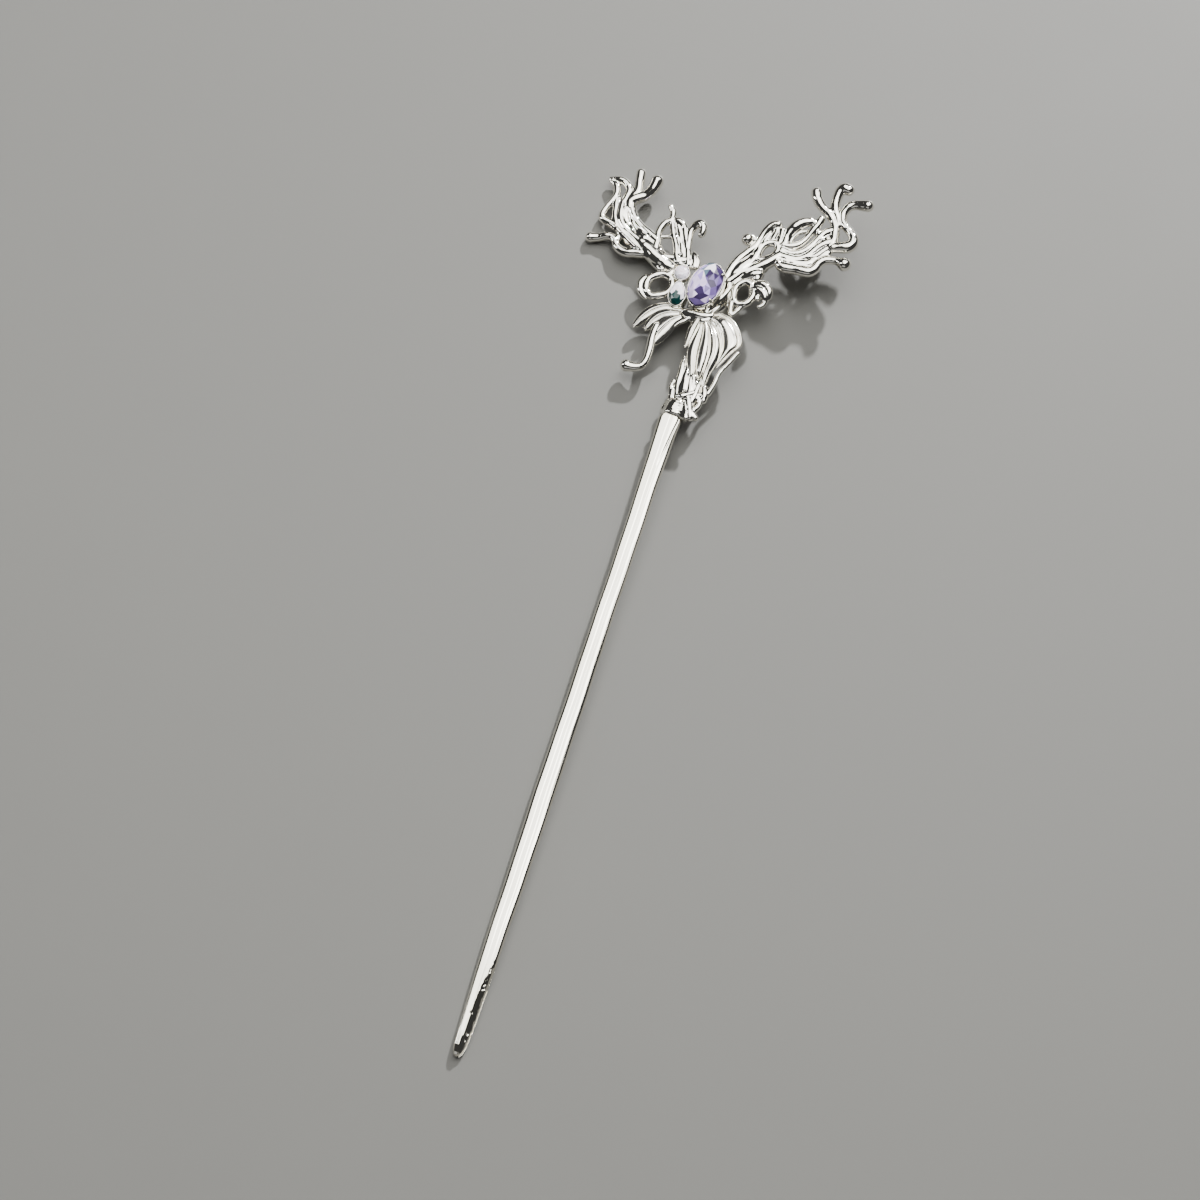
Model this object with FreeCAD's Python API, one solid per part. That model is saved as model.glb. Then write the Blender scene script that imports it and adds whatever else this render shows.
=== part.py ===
import FreeCAD, Part
import math
import os

# Decorative hair pin lying on its back, in millimetres.
# +Y runs from the tip of the pin to its head, +X is to the right, +Z is up and z = 0 is
# the surface it rests on.  The origin is the middle of the flat face of the back plate.

V = FreeCAD.Vector

# ---- driving dimensions ------------------------------------------------------------
TIP_Y = -147.3          # rounded end of the pin
NECK_Y = -25.6          # upper end of the pin, under the knotted collar
SHAFT_THICKNESS = 2.4
TIP_AXIS_Z = 1.055      # the pin climbs from its tip to the collar
NECK_AXIS_Z = 4.5
TENON_LENGTH = 3.0      # round end of the pin inside the collar
TENON_RADIUS = 0.9

HEAD_Z = 5.2            # height of the head's middle layer above the surface
HEAD_ROLL = 0.16        # rise of that layer per mm to the right
HEAD_PITCH = 0.0285     # rise of that layer per mm towards the antler tips

OVAL_LENGTH = 9.0       # violet stone
OVAL_WIDTH = 6.2
OVAL_HEIGHT = 3.6
OVAL_CENTRE = V(-1.5, 0.4, 6.9)
OVAL_TURN = -8.0        # degrees about its own axis
OVAL_LEAN = -16.0       # degrees, the table looks up and to the left

DROP_LENGTH = 4.9       # clear drop stone
DROP_WIDTH = 3.1
DROP_HEIGHT = 2.2
DROP_CENTRE = V(-6.1, -2.3, 5.6)

ROUND_RADIUS = 1.35     # small clear round stone
ROUND_HEIGHT = 1.7
ROUND_CENTRE = V(-6.5, 1.9, 5.8)

SEAT_WALL = 0.45        # metal around each stone
SEAT_DEPTH = 2.3
SEAT_CLEARANCE = 0.04
SEAT_SIDES = 24

PLATE_RX = 4.4          # flat face of the back plate
PLATE_RY = 3.8
PLATE_TOP_Z = 3.6

SWELL = 1.25            # fullness of the strands over their listed radii
SIDES = 8               # flats around each rod of the head
END_REACH = 0.75        # a rod's rounded end, as shares of its radius
END_SHARE = 0.55
SHEET = 0.62            # thickness of leaves and petals in the middle

# ---- pin: y, half width ------------------------------------------------------------
SHAFT_STATIONS = [
    (-146.6, 0.75), (-145.2, 1.18), (-142.0, 1.36), (-136.0, 1.50), (-130.0, 1.70),
    (-118.0, 1.82), (-100.0, 1.95), (-78.0, 1.86), (-60.0, 1.76), (-40.0, 1.80),
    (-30.0, 2.02), (NECK_Y, 2.20),
]

# ---- strands: x, y, radius and, if given, lift above the head's layer ---------------
LEFT_ANTLER = [
    # beak, outside and inside, and the elbow under it
    [(-25.3, 18.0, 0.40), (-23.6, 18.3, 0.50), (-22.2, 17.8, 0.52), (-21.2, 16.6, 0.55),
     (-21.2, 15.0, 0.60), (-21.6, 13.6, 0.55)],
    [(-25.0, 17.6, 0.40), (-23.9, 16.9, 0.50), (-23.4, 15.6, 0.50), (-23.6, 14.2, 0.45),
     (-24.3, 12.4, 0.45), (-24.7, 10.7, 0.50), (-24.2, 9.7, 0.55), (-22.6, 9.2, 0.55),
     (-21.3, 8.6, 0.60)],
    # three fingers
    [(-20.2, 20.4, 0.55, 0.3), (-19.9, 18.6, 0.60, 0.2), (-19.6, 16.6, 0.62), (-20.4, 15.0, 0.65)],
    [(-16.7, 19.4, 0.66, 0.5), (-17.0, 17.8, 0.66, 0.3), (-18.0, 16.2, 0.68), (-19.4, 15.3, 0.70),
     (-20.3, 14.4, 0.70), (-20.1, 13.2, 0.60)],
    # trunk, seen as rods side by side
    [(-20.3, 14.4, 0.60), (-19.3, 12.4, 0.55), (-18.2, 11.0, 0.50), (-16.6, 9.8, 0.50),
     (-14.9, 8.8, 0.60), (-13.2, 7.9, 0.60)],
    [(-23.0, 14.4, 0.40), (-22.6, 12.3, 0.50), (-22.2, 10.8, 0.55), (-21.3, 9.0, 0.60),
     (-19.8, 7.8, 0.65), (-18.3, 6.9, 0.65), (-16.8, 5.9, 0.70), (-15.3, 5.2, 0.70)],
    [(-21.6, 13.8, 0.55), (-21.4, 12.2, 0.60, 0.2), (-21.0, 10.6, 0.62, 0.2), (-19.9, 9.0, 0.60, 0.2),
     (-18.4, 8.0, 0.60), (-16.9, 7.2, 0.65), (-15.3, 6.4, 0.70)],
    [(-20.6, 13.2, 0.50), (-20.4, 11.4, 0.50, 0.2), (-19.4, 9.8, 0.45), (-18.2, 8.4, 0.50)],
    [(-19.3, 11.2, 0.35), (-18.2, 9.8, 0.35), (-17.0, 8.6, 0.45), (-15.4, 7.6, 0.65)],
    # long prong that curls out to the left and rests on the surface
    [(-25.5, 5.7, 0.68, -0.50), (-24.0, 6.1, 0.61, -0.45), (-22.8, 6.5, 0.52), (-21.7, 6.6, 0.52),
     (-20.8, 6.0, 0.55), (-20.2, 5.1, 0.55), (-19.3, 4.4, 0.58), (-18.0, 4.1, 0.60),
     (-16.6, 4.4, 0.62), (-15.2, 4.6, 0.62)],
    [(-20.6, 8.2, 0.50), (-20.4, 7.2, 0.40), (-20.3, 6.2, 0.40)],
    # root, as three rods that reach the middle
    [(-15.7, 6.7, 0.78), (-14.1, 6.1, 0.72), (-12.7, 4.8, 0.68), (-11.2, 4.0, 0.62),
     (-9.8, 3.3, 0.58), (-8.7, 3.1, 0.56)],
    [(-15.3, 5.0, 0.60), (-13.6, 4.3, 0.50), (-12.0, 3.2, 0.45, -0.3), (-10.5, 2.4, 0.50, -0.2)],
]

INNER_TWIG = [
    [(-12.7, 4.9, 0.60), (-12.9, 6.4, 0.65), (-13.0, 7.8, 0.55), (-13.3, 9.4, 0.50),
     (-13.0, 11.0, 0.50), (-12.3, 12.0, 0.50), (-11.5, 12.0, 0.50), (-10.9, 10.8, 0.50),
     (-10.3, 9.4, 0.50), (-9.6, 8.2, 0.50), (-9.0, 6.9, 0.50), (-8.6, 5.6, 0.55),
     (-8.0, 4.5, 0.60)],
    [(-12.9, 8.6, 0.30), (-11.9, 8.9, 0.28), (-10.7, 9.2, 0.30)],
    [(-12.6, 14.9, 0.42, 0.4), (-12.0, 14.2, 0.45, 0.3), (-11.7, 13.2, 0.42, 0.2), (-11.8, 12.2, 0.45)],
    [(-11.2, 12.3, 0.45), (-10.4, 12.6, 0.50), (-9.5, 12.2, 0.50), (-8.8, 11.4, 0.45),
     (-8.3, 10.2, 0.42), (-7.7, 8.9, 0.42), (-7.2, 7.6, 0.45)],
    [(-10.1, 9.6, 0.35), (-9.2, 8.9, 0.35), (-8.3, 8.0, 0.38), (-7.6, 6.9, 0.40), (-7.2, 5.6, 0.45)],
    # stem that climbs and hooks over
    [(-6.0, 4.4, 0.55), (-6.5, 6.0, 0.50), (-7.0, 7.6, 0.45), (-7.3, 9.2, 0.45), (-7.5, 10.8, 0.48),
     (-7.1, 12.2, 0.55, 0.2), (-6.3, 12.9, 0.60, 0.4), (-5.6, 12.4, 0.58, 0.5), (-5.3, 11.4, 0.50, 0.5),
     (-5.4, 10.7, 0.45, 0.4)],
    [(-12.4, 5.0, 0.60), (-11.0, 4.9, 0.55), (-9.6, 5.0, 0.50), (-8.4, 5.2, 0.45)],
    [(-8.0, 4.5, 0.50), (-7.2, 4.1, 0.45), (-6.2, 3.9, 0.50)],
]

LEFT_RING = [
    [(-12.0, 0.1, 0.55), (-11.1, 0.9, 0.55), (-10.0, 1.4, 0.55), (-8.8, 1.3, 0.55), (-7.9, 0.7, 0.55),
     (-7.6, -0.4, 0.50), (-7.8, -1.5, 0.50), (-8.5, -2.4, 0.50), (-9.5, -2.9, 0.55),
     (-10.6, -3.3, 0.55), (-11.6, -2.8, 0.58), (-12.2, -1.9, 0.60), (-12.3, -0.8, 0.58),
     (-12.0, 0.1, 0.55)],
    [(-12.8, 0.0, 0.50), (-13.4, -1.0, 0.52), (-13.3, -2.1, 0.50), (-12.8, -3.1, 0.40),
     (-11.7, -3.9, 0.30)],
    [(-8.8, 1.4, 0.50), (-8.4, 2.3, 0.50)],
]

RIGHT_RING = [
    [(4.1, 2.4, 0.50), (4.9, 3.3, 0.55), (5.8, 3.5, 0.55), (6.8, 3.0, 0.55), (7.4, 1.9, 0.55),
     (7.4, 0.7, 0.52), (6.8, -0.5, 0.52), (5.9, -1.0, 0.50), (4.8, -1.0, 0.50), (4.1, 0.0, 0.48),
     (3.9, 1.3, 0.48), (4.1, 2.4, 0.50)],
    [(3.7, 1.4, 0.45), (3.9, 0.0, 0.42), (4.1, -1.6, 0.40), (4.4, -3.2, 0.38)],
    [(5.8, -2.1, 0.30), (4.8, -3.5, 0.30)],
    [(6.2, -1.3, 0.35), (5.4, -2.3, 0.32)],
]

RIGHT_BUD = [
    [(7.4, 3.1, 0.60), (8.1, 3.6, 0.62, 0.2), (9.1, 3.5, 0.62, 0.3), (9.9, 2.8, 0.58, 0.3),
     (10.3, 2.0, 0.50, 0.2), (10.4, 1.4, 0.38)],
    [(7.9, 2.4, 0.62, 0.2), (8.9, 2.2, 0.62, 0.3), (9.6, 1.4, 0.55, 0.2), (9.9, 0.5, 0.42),
     (9.7, -0.3, 0.34), (9.2, -0.7, 0.34)],
    [(7.7, 2.0, 0.60), (8.3, 1.5, 0.52), (8.5, 0.7, 0.40)],
]

RIGHT_ANTLER = [
    # outside rod of the trunk, up to the rounded upper lobe
    [(1.6, 3.6, 0.60), (1.9, 5.0, 0.60), (2.3, 6.4, 0.65), (3.1, 8.0, 0.65), (4.1, 9.5, 0.60),
     (5.0, 10.9, 0.55), (5.5, 12.6, 0.50), (5.9, 14.2, 0.50, 0.3), (6.8, 15.5, 0.55, 0.5),
     (7.8, 15.9, 0.55, 0.6)],
    [(9.0, 15.0, 0.50, 0.5), (9.1, 13.8, 0.48, 0.3), (9.1, 12.5, 0.50)],
    [(7.8, 15.8, 0.50, 0.5), (8.0, 14.4, 0.42, 0.3), (7.6, 12.6, 0.42)],
    [(7.0, 15.0, 0.40, 0.3), (6.7, 13.4, 0.40), (6.4, 12.0, 0.45)],
    # little ball on a curl
    [(3.2, 11.8, 0.80, 0.3), (3.8, 12.5, 0.42, 0.3), (4.4, 12.3, 0.38, 0.2), (5.1, 11.6, 0.40)],
    # eyelet beside the trunk
    [(5.9, 9.6, 0.55), (6.1, 10.8, 0.50), (6.6, 11.7, 0.48), (7.4, 12.2, 0.48), (8.4, 12.3, 0.50),
     (9.1, 11.6, 0.50), (9.2, 10.6, 0.50), (8.7, 9.7, 0.50), (7.8, 8.9, 0.52), (6.8, 8.4, 0.52),
     (6.0, 8.6, 0.52), (5.9, 9.6, 0.55)],
    # rods from the middle to the eyelet
    [(2.3, 2.9, 0.60), (3.3, 4.2, 0.65), (4.2, 5.5, 0.70), (5.0, 7.0, 0.65), (5.6, 8.6, 0.60),
     (5.6, 10.0, 0.50), (5.9, 11.2, 0.50)],
    [(3.4, 2.6, 0.40), (4.3, 3.8, 0.45), (5.3, 4.6, 0.60), (6.2, 5.2, 0.75), (7.2, 5.6, 0.75)],
    [(4.0, 5.0, 0.60), (5.4, 5.9, 0.70), (6.8, 7.0, 0.75), (8.0, 8.0, 0.75), (9.0, 9.1, 0.70),
     (9.9, 10.1, 0.65)],
    [(7.2, 5.6, 0.60), (7.6, 7.0, 0.50), (8.4, 8.2, 0.50)],
    [(7.2, 5.6, 0.60), (7.2, 4.6, 0.60)],
    # lower edge that runs out to the prong with a ball
    [(9.6, 9.9, 0.60), (10.0, 8.9, 0.60), (10.6, 8.1, 0.65), (11.9, 8.0, 0.65), (13.3, 8.1, 0.65),
     (14.7, 8.1, 0.68), (15.9, 8.2, 0.70), (16.8, 9.0, 0.65), (17.2, 10.1, 0.60), (17.9, 11.0, 0.58),
     (18.9, 11.4, 0.55), (20.2, 11.5, 0.50), (21.8, 11.2, 0.88)],
    [(18.3, 11.3, 0.35), (18.2, 12.4, 0.35), (18.3, 13.6, 0.40)],
    # arch on the upper side
    [(9.4, 11.9, 0.50), (10.1, 12.8, 0.60), (10.1, 14.1, 0.68), (10.5, 15.4, 0.72, 0.2),
     (11.2, 16.5, 0.74, 0.4), (12.1, 17.3, 0.70, 0.5), (13.2, 17.8, 0.60, 0.5), (14.1, 17.9, 0.42, 0.5)],
    [(10.9, 12.8, 0.26), (11.3, 14.4, 0.26), (12.3, 15.6, 0.26), (13.8, 16.1, 0.30)],
    # rods of the outer trunk
    [(15.2, 18.8, 0.52, 0.4), (14.9, 17.6, 0.52, 0.3), (14.3, 16.2, 0.48, 0.2), (13.6, 14.5, 0.45),
     (12.6, 13.1, 0.48), (11.2, 12.4, 0.55), (9.9, 12.2, 0.55)],
    [(10.0, 11.3, 0.55), (11.6, 11.0, 0.50), (13.1, 11.4, 0.50), (14.3, 12.4, 0.50),
     (15.2, 13.8, 0.50), (16.0, 15.4, 0.55), (16.8, 16.6, 0.55), (17.8, 17.2, 0.55)],
    [(10.2, 10.0, 0.60), (11.6, 10.0, 0.55), (13.0, 10.1, 0.50), (14.3, 10.8, 0.45),
     (15.4, 12.0, 0.50), (16.3, 13.4, 0.55), (17.4, 14.4, 0.60), (18.5, 15.0, 0.60)],
    [(14.2, 11.0, 0.40), (15.4, 11.1, 0.42), (16.4, 11.6, 0.48), (17.3, 12.7, 0.50),
     (18.2, 13.8, 0.55)],
    [(10.6, 9.3, 0.50), (12.4, 9.2, 0.50), (14.0, 9.2, 0.40), (14.6, 8.6, 0.45)],
    [(16.4, 11.6, 0.40), (16.4, 10.3, 0.36), (16.5, 9.2, 0.40)],
    [(14.9, 17.2, 0.45), (15.6, 16.0, 0.50), (16.6, 15.0, 0.50), (17.9, 14.6, 0.55)],
    # fingers
    [(12.8, 23.9, 0.60, 0.5), (13.2, 22.9, 0.62, 0.5), (14.0, 21.9, 0.62, 0.4), (15.0, 21.1, 0.62, 0.3),
     (16.3, 20.3, 0.60, 0.2), (17.4, 19.2, 0.58), (18.1, 18.0, 0.58), (18.4, 16.6, 0.58),
     (18.6, 15.2, 0.60), (18.3, 13.9, 0.60)],
    [(18.4, 25.9, 0.62, 0.6), (17.6, 26.0, 0.64, 0.6), (17.0, 25.3, 0.66, 0.5), (16.8, 24.1, 0.66, 0.4),
     (16.8, 22.6, 0.64, 0.3), (17.2, 21.2, 0.62, 0.2), (18.0, 20.0, 0.58), (18.6, 18.6, 0.55)],
    [(22.8, 23.4, 0.74, 0.5), (21.6, 23.3, 0.62, 0.4), (20.3, 23.1, 0.60, 0.3), (19.3, 22.4, 0.60, 0.2),
     (18.8, 21.1, 0.56), (19.0, 19.9, 0.54), (19.8, 18.7, 0.54), (20.9, 17.8, 0.56),
     (21.8, 16.9, 0.62), (22.1, 15.7, 0.72), (21.5, 14.7, 0.76), (20.2, 14.3, 0.72),
     (18.8, 13.9, 0.66)],
]

LEFT_TENDRIL = [
    [(-7.9, -8.9, 0.55), (-8.0, -10.2, 0.58), (-8.0, -11.6, 0.58), (-7.8, -13.2, 0.56),
     (-7.7, -14.8, 0.54), (-7.8, -16.2, 0.52), (-8.3, -17.2, 0.50), (-9.3, -17.7, 0.58),
     (-10.4, -17.8, 0.72), (-11.0, -17.8, 0.80)],
]

STEM_BUNDLE = [
    [(-1.1, -13.7, 0.48), (-0.8, -15.2, 0.52), (-0.7, -17.0, 0.54), (-0.6, -19.0, 0.55),
     (-0.3, -20.6, 0.55), (0.0, -22.2, 0.58), (0.1, -23.4, 0.60)],
    [(0.1, -15.6, 0.55), (0.4, -17.6, 0.70), (0.8, -19.6, 0.72), (1.0, -21.6, 0.75)],
    [(1.2, -16.6, 0.55), (1.5, -18.4, 0.68), (2.0, -20.2, 0.70), (2.0, -22.0, 0.75)],
    [(3.2, -17.4, 0.50), (3.0, -19.0, 0.60), (3.0, -20.6, 0.62), (2.6, -22.4, 0.65)],
]

NECK_COLLAR = [
    # outer strand with a nub, and the feet
    [(-1.5, -18.8, 0.40), (-1.7, -19.8, 0.36), (-1.4, -21.0, 0.36), (-1.2, -22.3, 0.38),
     (-1.4, -23.3, 0.38), (-1.7, -24.3, 0.42)],
    [(-1.6, -24.7, 0.42), (-0.6, -24.6, 0.52), (0.3, -24.2, 0.62), (0.2, -23.6, 0.62)],
    [(1.9, -22.0, 0.55), (2.3, -23.0, 0.62), (3.0, -23.8, 0.62), (3.4, -24.8, 0.55)],
    [(3.0, -23.4, 0.50), (3.7, -24.2, 0.50), (4.4, -24.7, 0.40)],
    [(1.1, -22.4, 0.30, 0.5), (1.9, -24.0, 0.30, 0.5), (2.7, -25.2, 0.32, 0.3)],
    [(0.2, -21.6, 0.42, 0.6), (1.0, -21.4, 0.46, 0.7), (1.9, -20.8, 0.36, 0.6), (2.7, -20.2, 0.32, 0.5)],
    [(0.8, -20.2, 0.32, 0.5), (1.6, -21.0, 0.34, 0.6), (2.4, -22.0, 0.34, 0.5)],
    # loop on the right
    [(2.7, -21.8, 0.36, 0.2), (3.2, -21.0, 0.34, 0.2), (3.9, -21.2, 0.34, 0.1), (4.3, -22.2, 0.36),
     (3.8, -23.2, 0.40)],
    [(4.3, -18.8, 0.48), (4.7, -20.0, 0.50), (4.8, -21.1, 0.42)],
    [(4.7, -20.2, 0.42), (3.6, -20.4, 0.46), (2.8, -20.9, 0.46)],
]
COLLAR_RING_RX = 2.35
COLLAR_RING_RZ = 1.75
COLLAR_RING_Y0 = -25.4
COLLAR_RING_Y1 = -22.6

RIGHT_STRAND = [
    [(8.1, -10.6, 0.34), (7.5, -12.0, 0.34), (6.9, -13.3, 0.34), (6.3, -14.5, 0.34),
     (5.9, -15.8, 0.34), (5.8, -17.0, 0.34), (5.6, -18.2, 0.36), (5.2, -19.6, 0.40)],
]

CENTRE_BOSS = [
    [(-3.9, -4.9, 0.50), (-2.4, -5.0, 0.62), (-0.9, -5.0, 0.70), (0.4, -4.8, 0.60), (1.3, -4.5, 0.45)],
    [(-2.4, -5.4, 0.34), (-3.2, -6.6, 0.32), (-4.1, -7.3, 0.30), (-4.8, -8.2, 0.26)],
    [(-1.0, -5.0, 0.60, -0.6), (-1.0, -3.4, 0.90, -1.2), (-1.2, -1.6, 1.10, -1.4)],
    # rod that hugs the violet stone on its right
    [(2.9, 1.6, 0.50), (2.4, 0.2, 0.55), (1.7, -1.1, 0.55), (1.0, -2.3, 0.52), (0.4, -3.2, 0.60),
     (0.0, -4.4, 0.50)],
    [(2.9, 1.6, 0.50), (2.5, 2.6, 0.50)],
    [(3.0, 0.2, 0.35, -0.5), (2.4, -1.4, 0.35, -0.5), (1.7, -2.9, 0.35, -0.3), (1.0, -4.2, 0.40)],
]

# ---- leaves and petals: x, y, half width and, if given, lift -----------------------
LEAF_FAN = [
    [(-4.2, -4.8, 0.45), (-6.0, -4.8, 0.75), (-7.8, -5.1, 0.90), (-9.6, -6.2, 0.95, -0.1),
     (-11.0, -7.9, 0.80, -0.2), (-11.8, -9.4, 0.50, -0.3), (-12.0, -10.1, 0.20, -0.3)],
    [(-4.6, -5.6, 0.50, 0.1), (-6.3, -6.1, 0.80, 0.2), (-7.9, -7.0, 0.90, 0.1),
     (-9.0, -8.3, 0.75), (-9.6, -9.6, 0.50, -0.1), (-9.8, -10.3, 0.20, -0.2)],
    [(-4.0, -6.2, 0.50, 0.2), (-5.3, -7.3, 0.90, 0.2), (-6.3, -8.7, 1.20, 0.1),
     (-7.1, -10.2, 1.20), (-7.5, -11.6, 0.95, -0.1), (-7.7, -12.9, 0.45, -0.2)],
]
TWIG_LEAF = [(-5.7, 7.0, 0.25, 0.2), (-5.3, 6.2, 0.65, 0.2), (-4.9, 5.2, 0.95, 0.1), (-4.8, 4.2, 1.00)]
PETAL_LEFT = [(-0.7, -5.0, 0.45, 0.1), (-1.0, -6.4, 0.75, 0.1), (-1.3, -7.9, 0.90),
                    (-1.4, -9.4, 0.80), (-1.5, -10.9, 0.50), (-1.6, -12.0, 0.20)]
PETAL_LONG = [(0.0, -6.6, 0.40), (0.1, -8.4, 0.80), (0.1, -10.3, 1.10), (0.2, -12.3, 1.20),
                    (0.6, -14.3, 1.10), (1.1, -16.3, 0.80), (1.6, -18.2, 0.40)]
PETAL_CENTRE = [(0.6, -6.2, 0.35, 0.3), (1.3, -7.9, 0.65, 0.4), (1.8, -9.7, 0.90, 0.5),
                      (2.1, -11.6, 1.05, 0.5), (2.3, -13.5, 1.05, 0.4), (2.4, -15.3, 0.80, 0.3),
                      (2.7, -17.2, 0.40, 0.1)]
PETAL_RIGHT = [(0.9, -5.9, 0.35, 0.4), (2.1, -7.1, 0.70, 0.5), (3.1, -8.6, 0.95, 0.6),
                     (3.8, -10.3, 1.10, 0.6), (4.1, -12.1, 1.10, 0.5), (4.0, -13.9, 1.00, 0.4),
                     (3.8, -15.6, 0.80, 0.2), (3.8, -17.2, 0.65, 0.1), (4.0, -18.8, 0.50)]
SHELL_RIM = [(0.3, -5.0), (1.5, -4.2), (3.0, -3.7), (4.6, -4.0), (6.1, -4.9), (7.3, -6.2), (8.1, -7.6),
    (8.4, -9.0), (7.8, -10.0), (7.0, -11.2), (6.2, -12.7), (5.4, -14.2)]
SHELL_INNER = [(0.3, -5.4), (1.0, -5.8), (1.8, -6.4), (2.6, -7.3), (3.2, -8.3), (3.7, -9.4), (4.0, -10.5),
    (4.2, -11.5), (4.3, -12.3), (4.4, -13.1), (4.4, -13.9), (4.4, -14.8)]

# ---- broad low runs that close the gaps between the strands --------------------------
FILLS = {
    "left_antler": [
        [(-21.3, 13.6, 0.50, -0.3), (-21.9, 11.6, 0.55, -0.4), (-21.4, 9.6, 0.60, -0.4),
         (-19.7, 8.4, 0.60, -0.4), (-18.2, 6.7, 0.75, -0.4), (-16.3, 6.5, 1.0, -0.5),
         (-14.2, 5.8, 1.15, -0.5), (-12.2, 4.6, 1.15, -0.5), (-10.4, 3.9, 1.0, -0.5),
         (-8.8, 3.3, 0.85, -0.5)],
        [(-18.6, 12.2, 0.35, -0.3), (-17.6, 10.2, 0.45, -0.3), (-16.0, 8.6, 0.70, -0.4),
         (-14.2, 7.2, 0.80, -0.4), (-12.6, 6.0, 0.80, -0.4)],
        [(-23.9, 16.0, 0.35, -0.1), (-22.8, 14.6, 0.45, -0.2), (-22.4, 12.6, 0.35, -0.3)],
        [(-20.6, 15.4, 0.60, -0.2), (-20.9, 13.6, 0.60, -0.3)],
    ],
    "inner_twig": [
        [(-12.7, 7.2, 0.50, -0.3), (-11.7, 5.5, 0.70, -0.4), (-10.0, 4.9, 0.70, -0.4),
         (-8.2, 4.9, 0.80, -0.4), (-6.5, 5.1, 0.80, -0.4), (-5.2, 4.7, 0.70, -0.4)],
        [(-10.4, 12.0, 0.45, -0.2), (-9.3, 10.4, 0.55, -0.3), (-8.6, 8.6, 0.55, -0.3),
         (-7.7, 6.6, 0.65, -0.3)],
    ],
    "right_antler": [
        [(2.6, 3.8, 0.9, -0.5), (3.6, 5.6, 1.1, -0.5), (4.8, 7.4, 1.0, -0.5), (5.4, 9.4, 0.6, -0.4)],
        [(9.9, 10.6, 0.80, -0.4), (11.8, 9.6, 0.80, -0.4), (13.6, 9.3, 0.80, -0.4),
         (15.4, 9.8, 0.70, -0.4), (16.8, 11.4, 0.55, -0.3), (18.2, 12.6, 0.60, -0.3)],
        [(6.4, 14.2, 0.45, -0.1), (7.6, 13.4, 0.55, -0.2), (8.6, 13.6, 0.45, -0.1)],
        [(16.2, 15.2, 0.45, -0.3), (17.6, 15.6, 0.55, -0.3), (18.8, 16.6, 0.45, -0.2)],
        [(4.6, 4.8, 0.60, -0.4), (6.0, 6.0, 0.80, -0.4), (7.4, 7.2, 0.80, -0.4)],
    ],
    "right_ring": [
        [(3.0, 1.6, 0.60, -0.4), (3.4, 0.0, 0.60, -0.4), (3.6, -1.6, 0.50, -0.4)],
        [(7.0, 2.8, 0.60, -0.2), (7.4, 1.0, 0.55, -0.2)],
    ],
    "right_bud": [
        [(7.6, 2.6, 0.80, -0.2), (8.8, 2.8, 0.80, -0.2), (9.6, 1.8, 0.60, -0.2)],
    ],
    "left_ring": [
        [(-12.6, 0.3, 0.45, -0.2), (-12.9, -1.2, 0.50, -0.2), (-12.6, -2.6, 0.45, -0.2)],
    ],
    "stem_bundle": [
        [(-0.4, -17.0, 0.60, -0.4), (0.2, -19.0, 0.90, -0.4), (0.7, -21.0, 1.0, -0.4),
         (0.8, -23.0, 1.1, -0.4)],
        [(1.8, -17.0, 0.70, -0.4), (2.3, -19.0, 0.90, -0.4), (2.4, -21.0, 0.90, -0.4)],
    ],
    "neck_collar": [
        [(-1.2, -20.4, 0.45, -0.1), (-0.9, -22.4, 0.60, -0.1), (-0.9, -24.4, 0.60, -0.2)],
        [(2.0, -21.2, 0.55, 0.2), (2.6, -22.8, 0.60, 0.2), (3.4, -24.5, 0.50, 0.0)],
        [(0.4, -22.4, 0.60, 0.3), (0.6, -24.4, 0.55, 0.3)],
    ],
    "centre_boss": [
        [(-3.2, -4.6, 0.55, -0.5), (-1.2, -4.4, 0.75, -0.5), (0.8, -4.2, 0.60, -0.4)],
        [(-3.6, -5.4, 0.45, -0.2), (-1.8, -6.0, 0.50, -0.3), (0.0, -5.8, 0.55, -0.2), (1.0, -5.4, 0.40)],
    ],
}

SHELL_RIM_RADIUS = 0.34
SHELL_RIB_RADIUS = 0.19

PRONG_RADIUS = 0.42


def layer(x, y, lift=0.0):
    """Point on the head's middle layer, raised by lift."""
    return V(x, y, HEAD_Z + HEAD_ROLL * x + HEAD_PITCH * y + lift)


def section(centre, ahead, radius):
    """Corners of a rod's cross-section, square to its direction."""
    side = ahead.cross(V(0, 0, 1)).normalize()
    up = side.cross(ahead).normalize()
    corners = []
    for k in range(SIDES):
        a = 2.0 * math.pi * (k + 0.5) / SIDES
        corners.append(centre + side * (radius * math.cos(a)) + up * (radius * math.sin(a)))
    return corners


def body_of_sections(sections, closed):
    """Solid whose skin runs from one cross-section to the next."""
    faces = []
    last = len(sections) if closed else len(sections) - 1
    for i in range(last):
        here = sections[i]
        there = sections[(i + 1) % len(sections)]
        for k in range(len(here)):
            n = (k + 1) % len(here)
            faces.append(Part.Face(ring_of([here[k], here[n], there[k]])))
            faces.append(Part.Face(ring_of([here[n], there[n], there[k]])))
    if not closed:
        faces.append(Part.Face(ring_of(sections[0])))
        faces.append(Part.Face(ring_of(sections[-1])))
    solid = Part.makeSolid(Part.makeShell(faces))
    if solid.Volume < 0:
        solid.reverse()
    return solid


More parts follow.
